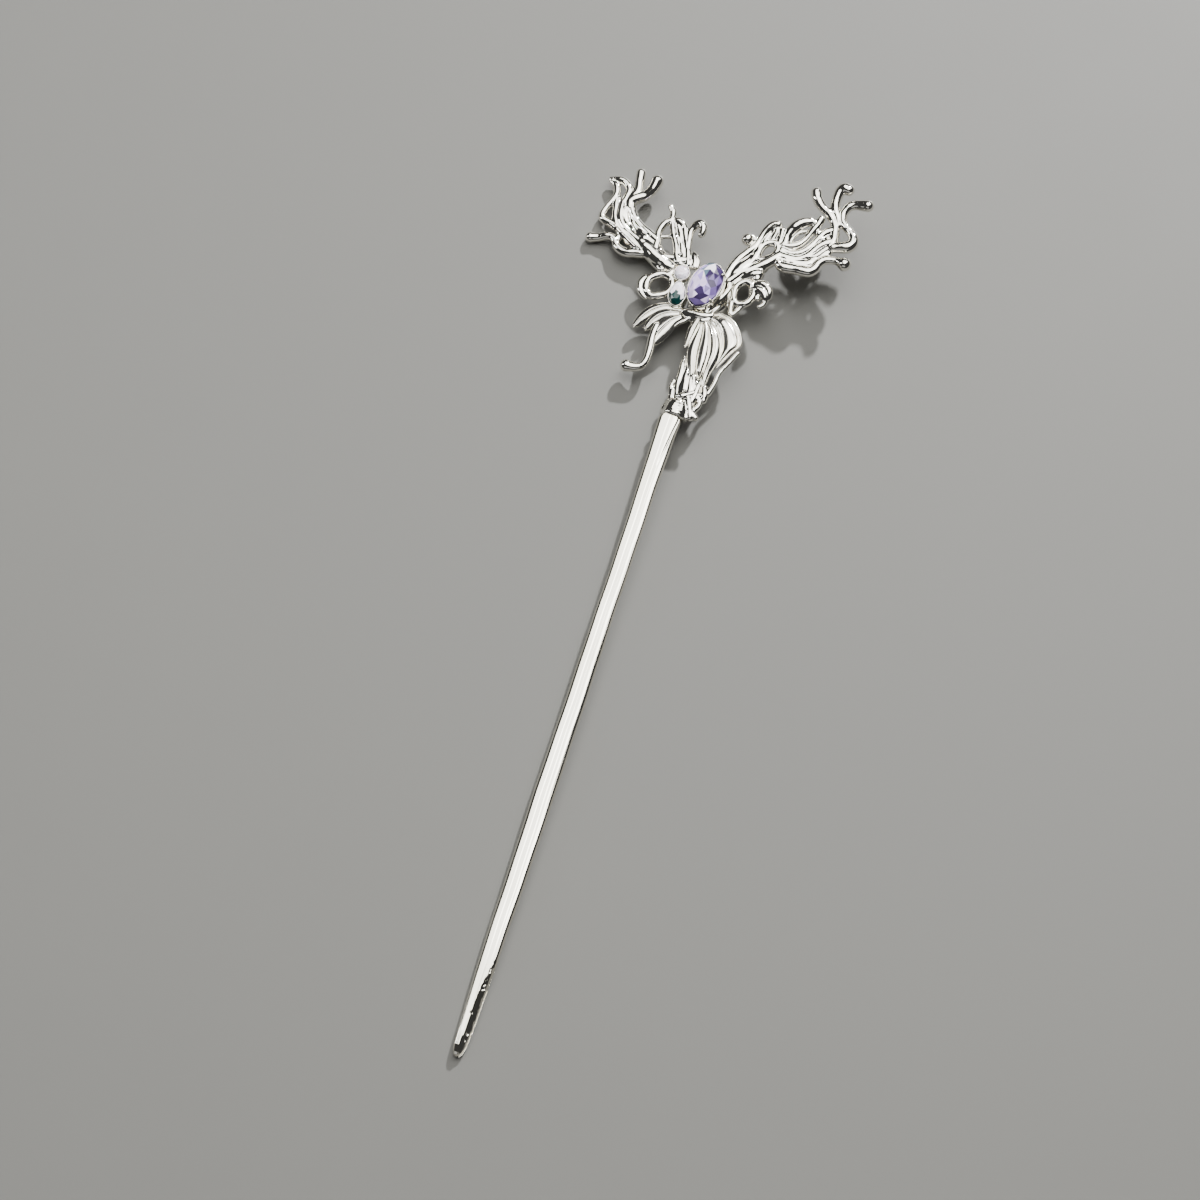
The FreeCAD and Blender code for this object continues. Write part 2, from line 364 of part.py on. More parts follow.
def strand(points):
    """Rod that follows a list of x, y, radius and lift; it closes if it ends where it starts."""
    spots = [(layer(p[0], p[1], p[3] if len(p) > 3 else 0.0), SWELL * p[2]) for p in points]
    closed = spots[0][0].distanceToPoint(spots[-1][0]) < 1e-6
    if closed:
        spots = spots[:-1]
    count = len(spots)
    sections = []
    for i, (spot, radius) in enumerate(spots):
        before = spots[(i - 1) % count][0] if closed or i else spot
        after = spots[(i + 1) % count][0] if closed or i < count - 1 else spot
        ahead = (after - before).normalize()
        if not closed and i == 0:
            sections.append(section(spot - ahead * (END_REACH * radius), ahead, END_SHARE * radius))
        sections.append(section(spot, ahead, radius))
        if not closed and i == count - 1:
            sections.append(section(spot + ahead * (END_REACH * radius), ahead, END_SHARE * radius))
    return [body_of_sections(sections, closed)]


def post(a, b, ra, rb):
    """Short straight rod between two points."""
    axis = (b - a).normalize()
    side = axis.cross(V(0, 1, 0)).normalize()
    up = side.cross(axis).normalize()
    rings = []
    for spot, radius in ((a, ra), (b, rb), (b + axis * (END_REACH * rb), END_SHARE * rb)):
        corners = []
        for k in range(SIDES):
            t = 2.0 * math.pi * (k + 0.5) / SIDES
            corners.append(spot + side * (radius * math.cos(t)) + up * (radius * math.sin(t)))
        rings.append(corners)
    return body_of_sections(rings, False)


def merge(shapes):
    """One body from shapes that run into each other."""
    if len(shapes) == 1:
        return shapes[0]
    return shapes[0].multiFuse(shapes[1:])


def lens(centre, side, up, half_width, half_height):
    """Closed almond outline of a leaf across its length."""
    arc_up = Part.Arc(centre - side * half_width, centre + up * half_height,
                      centre + side * half_width).toShape()
    arc_down = Part.Arc(centre + side * half_width, centre - up * half_height,
                        centre - side * half_width).toShape()
    return Part.Wire([arc_up, arc_down])


def leaf(points):
    """Blade with an almond cross-section that follows a list of x, y, half width and lift."""
    spots = [layer(p[0], p[1], p[3] if len(p) > 3 else 0.0) for p in points]
    wires = []
    for i, spot in enumerate(spots):
        before = spots[max(i - 1, 0)]
        after = spots[min(i + 1, len(spots) - 1)]
        ahead = (after - before).normalize()
        side = ahead.cross(V(0, 0, 1)).normalize()
        up = side.cross(ahead).normalize()
        half_width = points[i][2]
        half_height = min(SHEET, 0.8 * half_width)
        wires.append(lens(spot, side, up, half_width, half_height))
    return Part.makeLoft(wires, True, True)


def ellipse_wire(rx, ry, z):
    if rx >= ry:
        curve = Part.Ellipse(V(0, 0, z), rx, ry)
        return Part.Wire([curve.toShape()])
    curve = Part.Ellipse(V(0, ry, z), V(rx, 0, z), V(0, 0, z))
    return Part.Wire([curve.toShape()])


def ring_of(points):
    return Part.Wire(Part.makePolygon(points + [points[0]]))


def cut_stone(rx, ry, height, sides, squeeze=0.0):
    """Faceted stone about its own centre: table, crown, girdle and pointed pavilion.

    squeeze narrows the end at +Y, which turns the oval into a drop."""
    def level(scale, z, turn):
        pts = []
        for k in range(sides):
            a = 2.0 * math.pi * (k + turn) / sides
            x = math.cos(a)
            y = math.sin(a)
            x *= 1.0 - squeeze * max(y, 0.0)
            pts.append(V(rx * scale * x, ry * scale * y, z))
        return pts
    girdle = 0.05 * height
    table = level(0.58, 0.36 * height, 0.5)
    upper = level(1.0, girdle, 0.0)
    lower = level(1.0, -girdle, 0.0)
    culet = V(0, 0, -0.62 * height)
    faces = [Part.Face(ring_of(table))]
    for k in range(sides):
        n = (k + 1) % sides
        faces.append(Part.Face(ring_of([upper[k], upper[n], table[k]])))
        faces.append(Part.Face(ring_of([upper[n], table[n], table[k]])))
        faces.append(Part.Face(ring_of([upper[k], lower[k], lower[n]])))
        faces.append(Part.Face(ring_of([upper[k], lower[n], upper[n]])))
        faces.append(Part.Face(ring_of([lower[n], lower[k], culet])))
    solid = Part.makeSolid(Part.makeShell(faces))
    if solid.Volume < 0:
        solid.reverse()
    return solid


def seat(rx, ry, squeeze=0.0):
    """Oval or drop cup whose inside clears the stone."""
    def outline(grow, z):
        pts = []
        for k in range(SEAT_SIDES):
            a = 2.0 * math.pi * (k + 0.5) / SEAT_SIDES
            x = math.cos(a) * (1.0 - squeeze * max(math.sin(a), 0.0))
            pts.append(V((rx + grow) * x, (ry + grow) * math.sin(a), z))
        return pts
    slack = SEAT_CLEARANCE + 0.02 * ry
    outside = body_of_sections([outline(0.15, -SEAT_DEPTH), outline(SEAT_WALL, 0.25)], False)
    hole = body_of_sections([outline(-0.45 * rx, -SEAT_DEPTH - 0.5), outline(slack, -0.25),
                             outline(slack, 1.0)], False)
    return outside.cut(hole)


def place(shape, centre, turn, lean):
    """Turn a shape about +Z, lean it to the left and set it at centre."""
    out = shape.copy()
    out.rotate(V(0, 0, 0), V(0, 0, 1), turn)
    out.rotate(V(0, 0, 0), V(0, 1, 0), lean)
    out.translate(centre)
    return out


def oval_prongs():
    """Four claws that lap over the girdle of the violet stone."""
    rx = 0.5 * OVAL_WIDTH
    ry = 0.5 * OVAL_LENGTH
    shapes = []
    for angle in (38.0, 142.0, 218.0, 322.0):
        a = math.radians(angle)
        foot = V((rx + 0.42) * math.cos(a), (ry + 0.42) * math.sin(a), -1.6)
        head = V((rx + 0.36) * math.cos(a), (ry + 0.36) * math.sin(a), 0.45)
        shapes.append(post(foot, head, PRONG_RADIUS, PRONG_RADIUS))
    return shapes


def pin_shaft():
    """Flat tapering pin with a softly domed section and a round tenon."""
    slope = (NECK_AXIS_Z - TIP_AXIS_Z) / (NECK_Y - TIP_Y)
    wires = []
    for y, half_width in SHAFT_STATIONS:
        z = TIP_AXIS_Z + slope * (y - TIP_Y)
        half_height = min(0.5 * SHAFT_THICKNESS, 0.92 * half_width)
        curve = Part.Ellipse(V(0, 0, 0), half_width, half_height)
        wire = Part.Wire([curve.toShape()])
        wire.rotate(V(0, 0, 0), V(1, 0, 0), 90.0)
        wire.translate(V(0, y, z))
        wires.append(wire)
    blade = Part.makeLoft(wires, True, True)
    y0, half_width = SHAFT_STATIONS[0]
    nose = Part.makeSphere(0.66, V(0, y0, TIP_AXIS_Z + slope * (y0 - TIP_Y)))
    tenon = Part.makeCylinder(TENON_RADIUS, TENON_LENGTH + 0.5, V(0, NECK_Y - 0.5, NECK_AXIS_Z),
                              V(0, 1, 0))
    return blade.multiFuse([nose, tenon]).removeSplitter()


def collar_ring():
    """Short sleeve inside the knot that grips the tenon."""
    wires = []
    for y in (COLLAR_RING_Y0, COLLAR_RING_Y1):
        curve = Part.Ellipse(V(0, 0, 0), COLLAR_RING_RX, COLLAR_RING_RZ)
        wire = Part.Wire([curve.toShape()])
        wire.rotate(V(0, 0, 0), V(1, 0, 0), 90.0)
        wire.translate(V(0.6, y, NECK_AXIS_Z))
        wires.append(wire)
    return Part.makeLoft(wires, True, True)


def back_plate():
    """Pad under the stones: flat below, narrowing up to the head."""
    bottom = ellipse_wire(PLATE_RX, PLATE_RY, 0.0)
    middle = ellipse_wire(PLATE_RX - 0.5, PLATE_RY - 0.4, 1.2)
    top = ellipse_wire(PLATE_RX - 1.6, PLATE_RY - 1.0, PLATE_TOP_Z)
    return Part.makeLoft([bottom, middle, top], True, True)


def shell_petal():
    """Broad ribbed petal on the right: a thin crowned sheet with a thick rim."""
    outline = SHELL_RIM + SHELL_INNER[::-1]
    low = [layer(x, y, -0.28) for x, y in outline]
    sheet = Part.Face(ring_of(low)).extrude(V(0, 0, 0.5))
    rim = strand([(x, y, SHELL_RIM_RADIUS) for x, y in SHELL_RIM])
    ribs = []
    for share in (0.30, 0.52, 0.74):
        path = []
        for outer, inner in zip(SHELL_RIM[1:-1], SHELL_INNER[1:-1]):
            x = outer[0] + share * (inner[0] - outer[0])
            y = outer[1] + share * (inner[1] - outer[1])
            path.append((x, y, SHELL_RIB_RADIUS, 0.16))
        ribs.extend(strand(path))
    return merge([sheet] + rim + ribs)


def casting(name, points_list, others=()):
    """One piece from its strands, its fills and any other shapes."""
    shapes = list(others)
    for points in points_list + FILLS.get(name, []):
        shapes.extend(strand(points))
    return name, merge(shapes)


def solid_of(shape):
    """The largest solid left after trimming, so that no crumbs stay behind."""
    return max(shape.Solids, key=lambda s: s.Volume)


def build():
    oval_stone = place(cut_stone(0.5 * OVAL_WIDTH, 0.5 * OVAL_LENGTH, OVAL_HEIGHT, 16),
                       OVAL_CENTRE, OVAL_TURN, OVAL_LEAN)
    drop_stone = place(cut_stone(0.5 * DROP_WIDTH, 0.5 * DROP_LENGTH, DROP_HEIGHT, 12, 0.35),
                       DROP_CENTRE, 8.0, -10.0)
    round_stone = place(cut_stone(ROUND_RADIUS, ROUND_RADIUS, ROUND_HEIGHT, 12),
                        ROUND_CENTRE, 0.0, -10.0)
    oval_cup = seat(0.5 * OVAL_WIDTH, 0.5 * OVAL_LENGTH)
    oval_setting = place(merge([oval_cup] + oval_prongs()), OVAL_CENTRE, OVAL_TURN, OVAL_LEAN)
    drop_setting = place(seat(0.5 * DROP_WIDTH, 0.5 * DROP_LENGTH, 0.35), DROP_CENTRE, 8.0, -10.0)
    round_setting = place(seat(ROUND_RADIUS, ROUND_RADIUS), ROUND_CENTRE, 0.0, -10.0)

    parts = [
        ("violet_oval_stone", oval_stone),
        ("clear_drop_stone", drop_stone),
        ("clear_round_stone", round_stone),
        ("pin_shaft", pin_shaft()),
        ("oval_setting", oval_setting),
        ("drop_setting", drop_setting),
        ("round_setting", round_setting),
        casting("neck_collar", NECK_COLLAR, [collar_ring()]),
        casting("stem_bundle", STEM_BUNDLE),
        casting("left_antler", LEFT_ANTLER),
        casting("right_antler", RIGHT_ANTLER),
        casting("inner_twig", INNER_TWIG, [leaf(TWIG_LEAF)]),
        casting("left_ring", LEFT_RING),
        casting("right_ring", RIGHT_RING),
        casting("right_bud", RIGHT_BUD),
        casting("left_tendril", LEFT_TENDRIL),
        ("leaf_fan", merge([leaf(p) for p in LEAF_FAN])),
        ("shell_petal", shell_petal()),
        ("petal_right", leaf(PETAL_RIGHT)),
        ("petal_centre", leaf(PETAL_CENTRE)),
        ("petal_left", leaf(PETAL_LEFT)),
        ("petal_long", leaf(PETAL_LONG)),
        casting("right_strand", RIGHT_STRAND),
        casting("centre_boss", CENTRE_BOSS),
        ("back_plate", back_plate()),
    ]

    # Every piece gives way to the pieces named before it, so that faces meet.
    done = []
    for name, shape in parts:
        box = shape.BoundBox
        for other_name, other in done:
            if box.intersect(other.BoundBox):
                shape = shape.cut(other)
        shape = solid_of(shape)
        done.append((name, shape))
    return done


os.makedirs("parts", exist_ok=True)
for part_name, part_shape in build():
    part_shape.exportStep("parts/" + part_name + ".step")
    bb = part_shape.BoundBox
    print(f"{part_name:20s} valid {part_shape.isValid()} faces {len(part_shape.Faces):4d} "
          f"vol {part_shape.Volume:8.2f} z {bb.ZMin:6.2f}..{bb.ZMax:6.2f}")
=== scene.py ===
"""Decorative hair pin: liquid-silver branches, ribbed petals and set stones."""

from dataclasses import dataclass
from enum import Enum
import logging
import math
from typing import Sequence

import bpy
import numpy as np
from mathutils import Matrix, Vector


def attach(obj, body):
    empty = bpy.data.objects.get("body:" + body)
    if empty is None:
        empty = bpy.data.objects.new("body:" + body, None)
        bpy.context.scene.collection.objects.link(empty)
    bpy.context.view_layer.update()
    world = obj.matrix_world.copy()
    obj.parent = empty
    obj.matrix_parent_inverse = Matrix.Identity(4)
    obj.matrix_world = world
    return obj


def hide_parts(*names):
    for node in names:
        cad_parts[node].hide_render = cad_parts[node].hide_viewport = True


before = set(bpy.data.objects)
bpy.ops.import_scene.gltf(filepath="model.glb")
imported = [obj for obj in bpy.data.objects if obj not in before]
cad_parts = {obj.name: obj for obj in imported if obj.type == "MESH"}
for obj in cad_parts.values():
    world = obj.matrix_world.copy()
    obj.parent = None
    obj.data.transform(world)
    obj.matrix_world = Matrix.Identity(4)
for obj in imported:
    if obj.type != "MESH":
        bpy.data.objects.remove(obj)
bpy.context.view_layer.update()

MM = 0.001
LOG = logging.getLogger("hair_pin")

Knot = tuple[float, ...]
Path = Sequence[Knot]


class Slot(Enum):
    """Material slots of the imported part."""

    SILVER = "silver"
    VIOLET = "violet_stone"
    CLEAR = "clear_stone"


# --------------------------------------------------------------------------- shading
class Signal:
    """A shader socket that takes part in arithmetic."""

    def __init__(self, tree: bpy.types.NodeTree, socket: bpy.types.NodeSocket) -> None:
        """Wrap one output.

        Args:
            tree: node tree that owns the socket.
            socket: output socket to wrap.
        """
        self.tree = tree
        self.socket = socket

    def _math(self, operation: str, *values: "Signal | float") -> "Signal":
        """Make a math node.

        Args:
            operation: name of the math operation.
            values: inputs in order.

        Returns:
            The node's output.
        """
        node = self.tree.nodes.new("ShaderNodeMath")
        node.operation = operation
        for index, value in enumerate(values):
            feed(self.tree, node.inputs[index], value)
        return Signal(self.tree, node.outputs[0])

    def __add__(self, other: "Signal | float") -> "Signal":
        """Sum with a signal or a number."""
        return self._math("ADD", self, other)

    __radd__ = __add__

    def __mul__(self, other: "Signal | float") -> "Signal":
        """Product with a signal or a number."""
        return self._math("MULTIPLY", self, other)

    __rmul__ = __mul__

    def power(self, exponent: float) -> "Signal":
        """Raise to a power.

        Args:
            exponent: the power.

        Returns:
            The result.
        """
        return self._math("POWER", self, exponent)


def feed(tree: bpy.types.NodeTree, socket: bpy.types.NodeSocket, value: object) -> None:
    """Link an output or set a constant.

    Args:
        tree: node tree of the socket.
        socket: input socket.
        value: signal, output socket or constant.
    """
    if isinstance(value, Signal):
        value = value.socket
    if isinstance(value, bpy.types.NodeSocket):
        tree.links.new(value, socket)
    else:
        socket.default_value = value


class ShaderBench:
    """Builds one node material."""

    def __init__(self, name: str) -> None:
        """Start an empty material.

        Args:
            name: material name.
        """
        self.material = bpy.data.materials.new(name)
        self.material.use_nodes = True
        self.tree = self.material.node_tree
        self.tree.nodes.clear()

    def make(self, kind: str, output: int | str = 0, settings: dict | None = None,
             **inputs: object) -> Signal:
        """Make any node.

        Args:
            kind: node type.
            output: index or name of the output returned.
            settings: node attributes.
            inputs: input values; underscores stand for spaces.

        Returns:
            The chosen output.
        """
        node = self.tree.nodes.new(kind)
        for key, value in (settings or {}).items():
            setattr(node, key, value)
        for key, value in inputs.items():
            feed(self.tree, node.inputs[key.replace("_", " ")], value)
        return Signal(self.tree, node.outputs[output])

    def place(self) -> Signal:
        """Object coordinates in metres.

        Returns:
            The coordinate vector.
        """
        return self.make("ShaderNodeTexCoord", "Object")

    def noise(self, scale: float, detail: float = 3.0, squash: tuple = (1.0, 1.0, 1.0)) -> Signal:
        """Value noise over object coordinates.

        Args:
            scale: cells per metre.
            detail: octaves.
            squash: stretch along each axis.

        Returns:
            Noise in about 0..1.
        """
        where = self.make("ShaderNodeVectorMath", 0, {"operation": "MULTIPLY"})
        node = where.socket.node
        feed(self.tree, node.inputs[0], self.place())
        node.inputs[1].default_value = squash
        return self.make("ShaderNodeTexNoise", "Fac", None, Vector=where, Scale=scale,
                         Detail=detail)

    def blend(self, share: Signal, low: tuple, high: tuple) -> Signal:
        """Mix two colours.

        Args:
            share: 0 gives low, 1 gives high.
            low: colour.
            high: colour.

        Returns:
            The mixed colour.
        """
        node = self.tree.nodes.new("ShaderNodeMix")
        node.data_type = "RGBA"
        feed(self.tree, node.inputs[0], share)
        node.inputs[6].default_value = (*low, 1.0)
        node.inputs[7].default_value = (*high, 1.0)
        return Signal(self.tree, node.outputs[2])

    def bump(self, height: Signal, strength: float, distance: float) -> Signal:
        """Normal from a height.

        Args:
            height: height signal.
            strength: bump strength.
            distance: height of 1.0 in metres.

        Returns:
            The normal.
        """
        return self.make("ShaderNodeBump", 0, None, Height=height, Strength=strength,
                         Distance=distance)

    def finish(self, shader: Signal) -> bpy.types.Material:
        """Close the material.

        Args:
            shader: surface shader.

        Returns:
            The finished material.
        """
        out = self.tree.nodes.new("ShaderNodeOutputMaterial")
        self.tree.links.new(shader.socket, out.inputs["Surface"])
        return self.material


@dataclass(frozen=True)
class SilverPlate:
    """Bright cast silver plate with a faint cloudiness and soft ripples."""

    name: str = "silver_plate"
    bright: tuple[float, float, float] = (0.97, 0.945, 0.875)
    dull: tuple[float, float, float] = (0.87, 0.845, 0.77)
    roughness: float = 0.045
    cloud: float = 0.09
    ripple_per_m: float = 900.0
    ripple_height: float = 0.00006
    ripple_strength: float = 0.35
    cloud_per_m: float = 260.0
    pores_per_m: float = 5200.0
    pore_share: float = 0.06

    def material(self) -> bpy.types.Material:
        """Build the finish.

        Returns:
            The material.
        """
        bench = ShaderBench(self.name)
        cloud = bench.noise(self.cloud_per_m, 4.0)
        ripple = bench.noise(self.ripple_per_m, 2.0)
        pores = bench.noise(self.pores_per_m, 2.0)
        height = ripple + pores * self.pore_share
        shader = bench.make(
            "ShaderNodeBsdfPrincipled", "BSDF", None,
            Base_Color=bench.blend(cloud, self.dull, self.bright),
            Metallic=1.0,
            Roughness=self.roughness + cloud.power(2.0) * self.cloud,
            Normal=bench.bump(height, self.ripple_strength, self.ripple_height),
        )
        return bench.finish(shader)


@dataclass(frozen=True)
class PinPlate:
    """Smoother plate of the long pin, with lengthways polish."""

    name: str = "pin_plate"
    bright: tuple[float, float, float] = (0.97, 0.94, 0.855)
    dull: tuple[float, float, float] = (0.72, 0.69, 0.59)
    streaks_per_m: float = 1500.0
    swells_per_m: float = 210.0
    streak_share: float = 0.10
    roughness: float = 0.05
    streak_roughness: float = 0.12
    bump_strength: float = 0.30
    bump_height: float = 0.00012

    def material(self) -> bpy.types.Material:
        """Build the finish.

        Returns:
            The material.
        """
        bench = ShaderBench(self.name)
        streak = bench.noise(self.streaks_per_m, 3.0, (1.0, 0.03, 1.0))
        swell = bench.noise(self.swells_per_m, 2.0, (1.0, 0.35, 1.0))
        height = streak * self.streak_share + swell
        shader = bench.make(
            "ShaderNodeBsdfPrincipled", "BSDF", None,
            Base_Color=bench.blend(swell, self.dull, self.bright),
            Metallic=1.0,
            Roughness=self.roughness + streak.power(2.0) * self.streak_roughness,
            Normal=bench.bump(height, self.bump_strength, self.bump_height),
        )
        return bench.finish(shader)


@dataclass(frozen=True)
class CutGlass:
    """Foil-backed cut stone whose facets each carry a tint with painted light and shade, and which
    shows a painted glow by emission.
    """

    name: str
    # painted glow: emission strength that makes the stone shine like a lamp
    painted_glow: float = 0.22
    ior: float = 1.45
    haze_per_m: float = 700.0
    haze_dark: tuple[float, float, float] = (0.55, 0.55, 0.60)
    haze_bright: tuple[float, float, float] = (1.25, 1.2, 1.25)
    roughness: float = 0.04
    haze_roughness: float = 0.06
    coat: float = 0.15
    coat_roughness: float = 0.02

    def material(self) -> bpy.types.Material:
        """Build the finish.

        Returns:
            The material.
        """
        bench = ShaderBench(self.name)
        # facet tints, which include painted light and shade
        tint = bench.make("ShaderNodeAttribute", "Color", {"attribute_name": "tint"})
        haze = bench.noise(self.haze_per_m, 3.0)
        veil = bench.tree.nodes.new("ShaderNodeMix")
        veil.data_type = "RGBA"
        veil.blend_type = "MULTIPLY"
        veil.inputs[0].default_value = 1.0
        feed(bench.tree, veil.inputs[6], tint)
        feed(bench.tree, veil.inputs[7], bench.blend(haze, self.haze_dark, self.haze_bright))
        colour = Signal(bench.tree, veil.outputs[2])
        shader = bench.make(
            "ShaderNodeBsdfPrincipled", "BSDF", None,
            Base_Color=colour,
            Roughness=self.roughness + haze * self.haze_roughness,
            IOR=self.ior,
            # painted glow: the facet tints are emitted as well as reflected
            Emission_Color=colour,
            Emission_Strength=self.painted_glow,
            Coat_Weight=self.coat,
            Coat_Roughness=self.coat_roughness,
        )
        return bench.finish(shader)


# ---------------------------------------------------------------------- shape helpers
@dataclass(frozen=True)
class HeadLayer:
    """Sloping middle layer that the head is modelled about, in mm."""

    height: float = 5.2
    roll: float = 0.16
    pitch: float = 0.0285

    def lift(self, x: float, y: float, extra: float = 0.0) -> Vector:
        """Point on the layer.

        Args:
            x: mm to the right.
            y: mm towards the antlers.
            extra: mm above the layer.

        Returns:
            The point in mm.
        """
        return Vector((x, y, self.height + self.roll * x + self.pitch * y + extra))


LAYER = HeadLayer()


def flowing(values: np.ndarray, steps: int) -> np.ndarray:
    """Catmull-Rom curve through rows of values.

    Args:
        values: one row per knot.
        steps: samples per span.

    Returns:
        The sampled rows.
    """
    ends = np.vstack([2 * values[0] - values[1], values, 2 * values[-1] - values[-2]])
    out = []
    for i in range(1, len(ends) - 2):
        a, b, c, d = ends[i - 1], ends[i], ends[i + 1], ends[i + 2]
        for t in np.linspace(0.0, 1.0, steps, endpoint=False):
            out.append(0.5 * (2 * b + (c - a) * t + (2 * a - 5 * b + 4 * c - d) * t ** 2
                              + (3 * b - a - 3 * c + d) * t ** 3))
    out.append(values[-1])
    return np.array(out)


def mesh_object(name: str, verts: Sequence, faces: Sequence, smooth: bool = True
                ) -> bpy.types.Object:
    """Mesh object from corners in mm.

    Args:
        name: object name.
        verts: corners in mm.
        faces: corner indices.
        smooth: shade smoothly.

    Returns:
        The linked object at the origin.
    """
    mesh = bpy.data.meshes.new(name)
    mesh.from_pydata([tuple(float(c) * MM for c in v) for v in verts], [], faces)
    mesh.validate()
    mesh.polygons.foreach_set("use_smooth", [smooth] * len(mesh.polygons))
    obj = bpy.data.objects.new(name, mesh)
    bpy.context.scene.collection.objects.link(obj)
    return obj


def ring_skin(rows: int, around: int, base: int = 0, rising: bool = True) -> list[tuple[int, ...]]:
    """Faces over a stack of equal rings, closed at both ends.

    Args:
        rows: number of rings.
        around: corners of one ring.
        base: index of the first corner.
        rising: True where the rings run anticlockwise seen from the last one.

    Returns:
        The faces, pointing outwards.
    """
    faces: list[tuple[int, ...]] = []
    for row in range(rows - 1):
        for k in range(around):
            n = (k + 1) % around
            a = base + row * around
            b = a + around
            faces.append((a + k, a + n, b + n, b + k) if rising else (a + k, b + k, b + n, a + n))
    first = tuple(base + k for k in range(around))
    last = tuple(base + (rows - 1) * around + k for k in range(around))
    return faces + ([first[::-1], last] if rising else [first, last[::-1]])


def settle(obj: bpy.types.Object) -> bpy.types.Object:
    """Turn an object with modifiers into a plain mesh.

    Args:
        obj: object whose modifiers are kept as geometry.

    Returns:
        The same object.
    """
    graph = bpy.context.evaluated_depsgraph_get()
    graph.update()
    mesh = bpy.data.meshes.new_from_object(obj.evaluated_get(graph))
    obj.modifiers.clear()
    old = obj.data
    obj.data = mesh
    mesh.name = obj.name
    bpy.data.meshes.remove(old)
    mesh.polygons.foreach_set("use_smooth", [True] * len(mesh.polygons))
    return obj


def melt_together(obj: bpy.types.Object, cell: float, passes: int) -> None:
    """Fuse a piece into one soft skin.

    Args:
        obj: object to fuse.
        cell: fineness of the skin in mm.
        passes: rounds of smoothing.
    """
    melt = obj.modifiers.new("melt", "REMESH")
    melt.mode = "VOXEL"
    melt.voxel_size = cell * MM
    melt.use_smooth_shade = True
    ease = obj.modifiers.new("ease", "SMOOTH")
    ease.factor = 0.5
    ease.iterations = passes
    settle(obj)


def hand_in(obj: bpy.types.Object, slot: Slot, *nodes: str) -> bpy.types.Object:
    """Attach a finished piece to the part.

    Args:
        obj: finished piece.
        slot: its material slot; not used.
        nodes: nodes it stands for.

    Returns:
        The same object.
    """
    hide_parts(*nodes)
    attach(obj, "root")
    LOG.info("%s: %d faces, stands for %s", obj.name, len(obj.data.polygons), ", ".join(nodes))
    return obj


def silver_piece(node: str, verts: Sequence, faces: Sequence, material: bpy.types.Material
                 ) -> bpy.types.Object:
    """Make a silver piece and hand it in.

    Args:
        node: node that it stands for.
        verts: corners in mm.
        faces: corner indices.
        material: finish.

    Returns:
        The finished piece.
    """
    obj = mesh_object(node + "_visual", verts, faces)
    obj.data.materials.append(material)
    return hand_in(obj, Slot.SILVER, node)


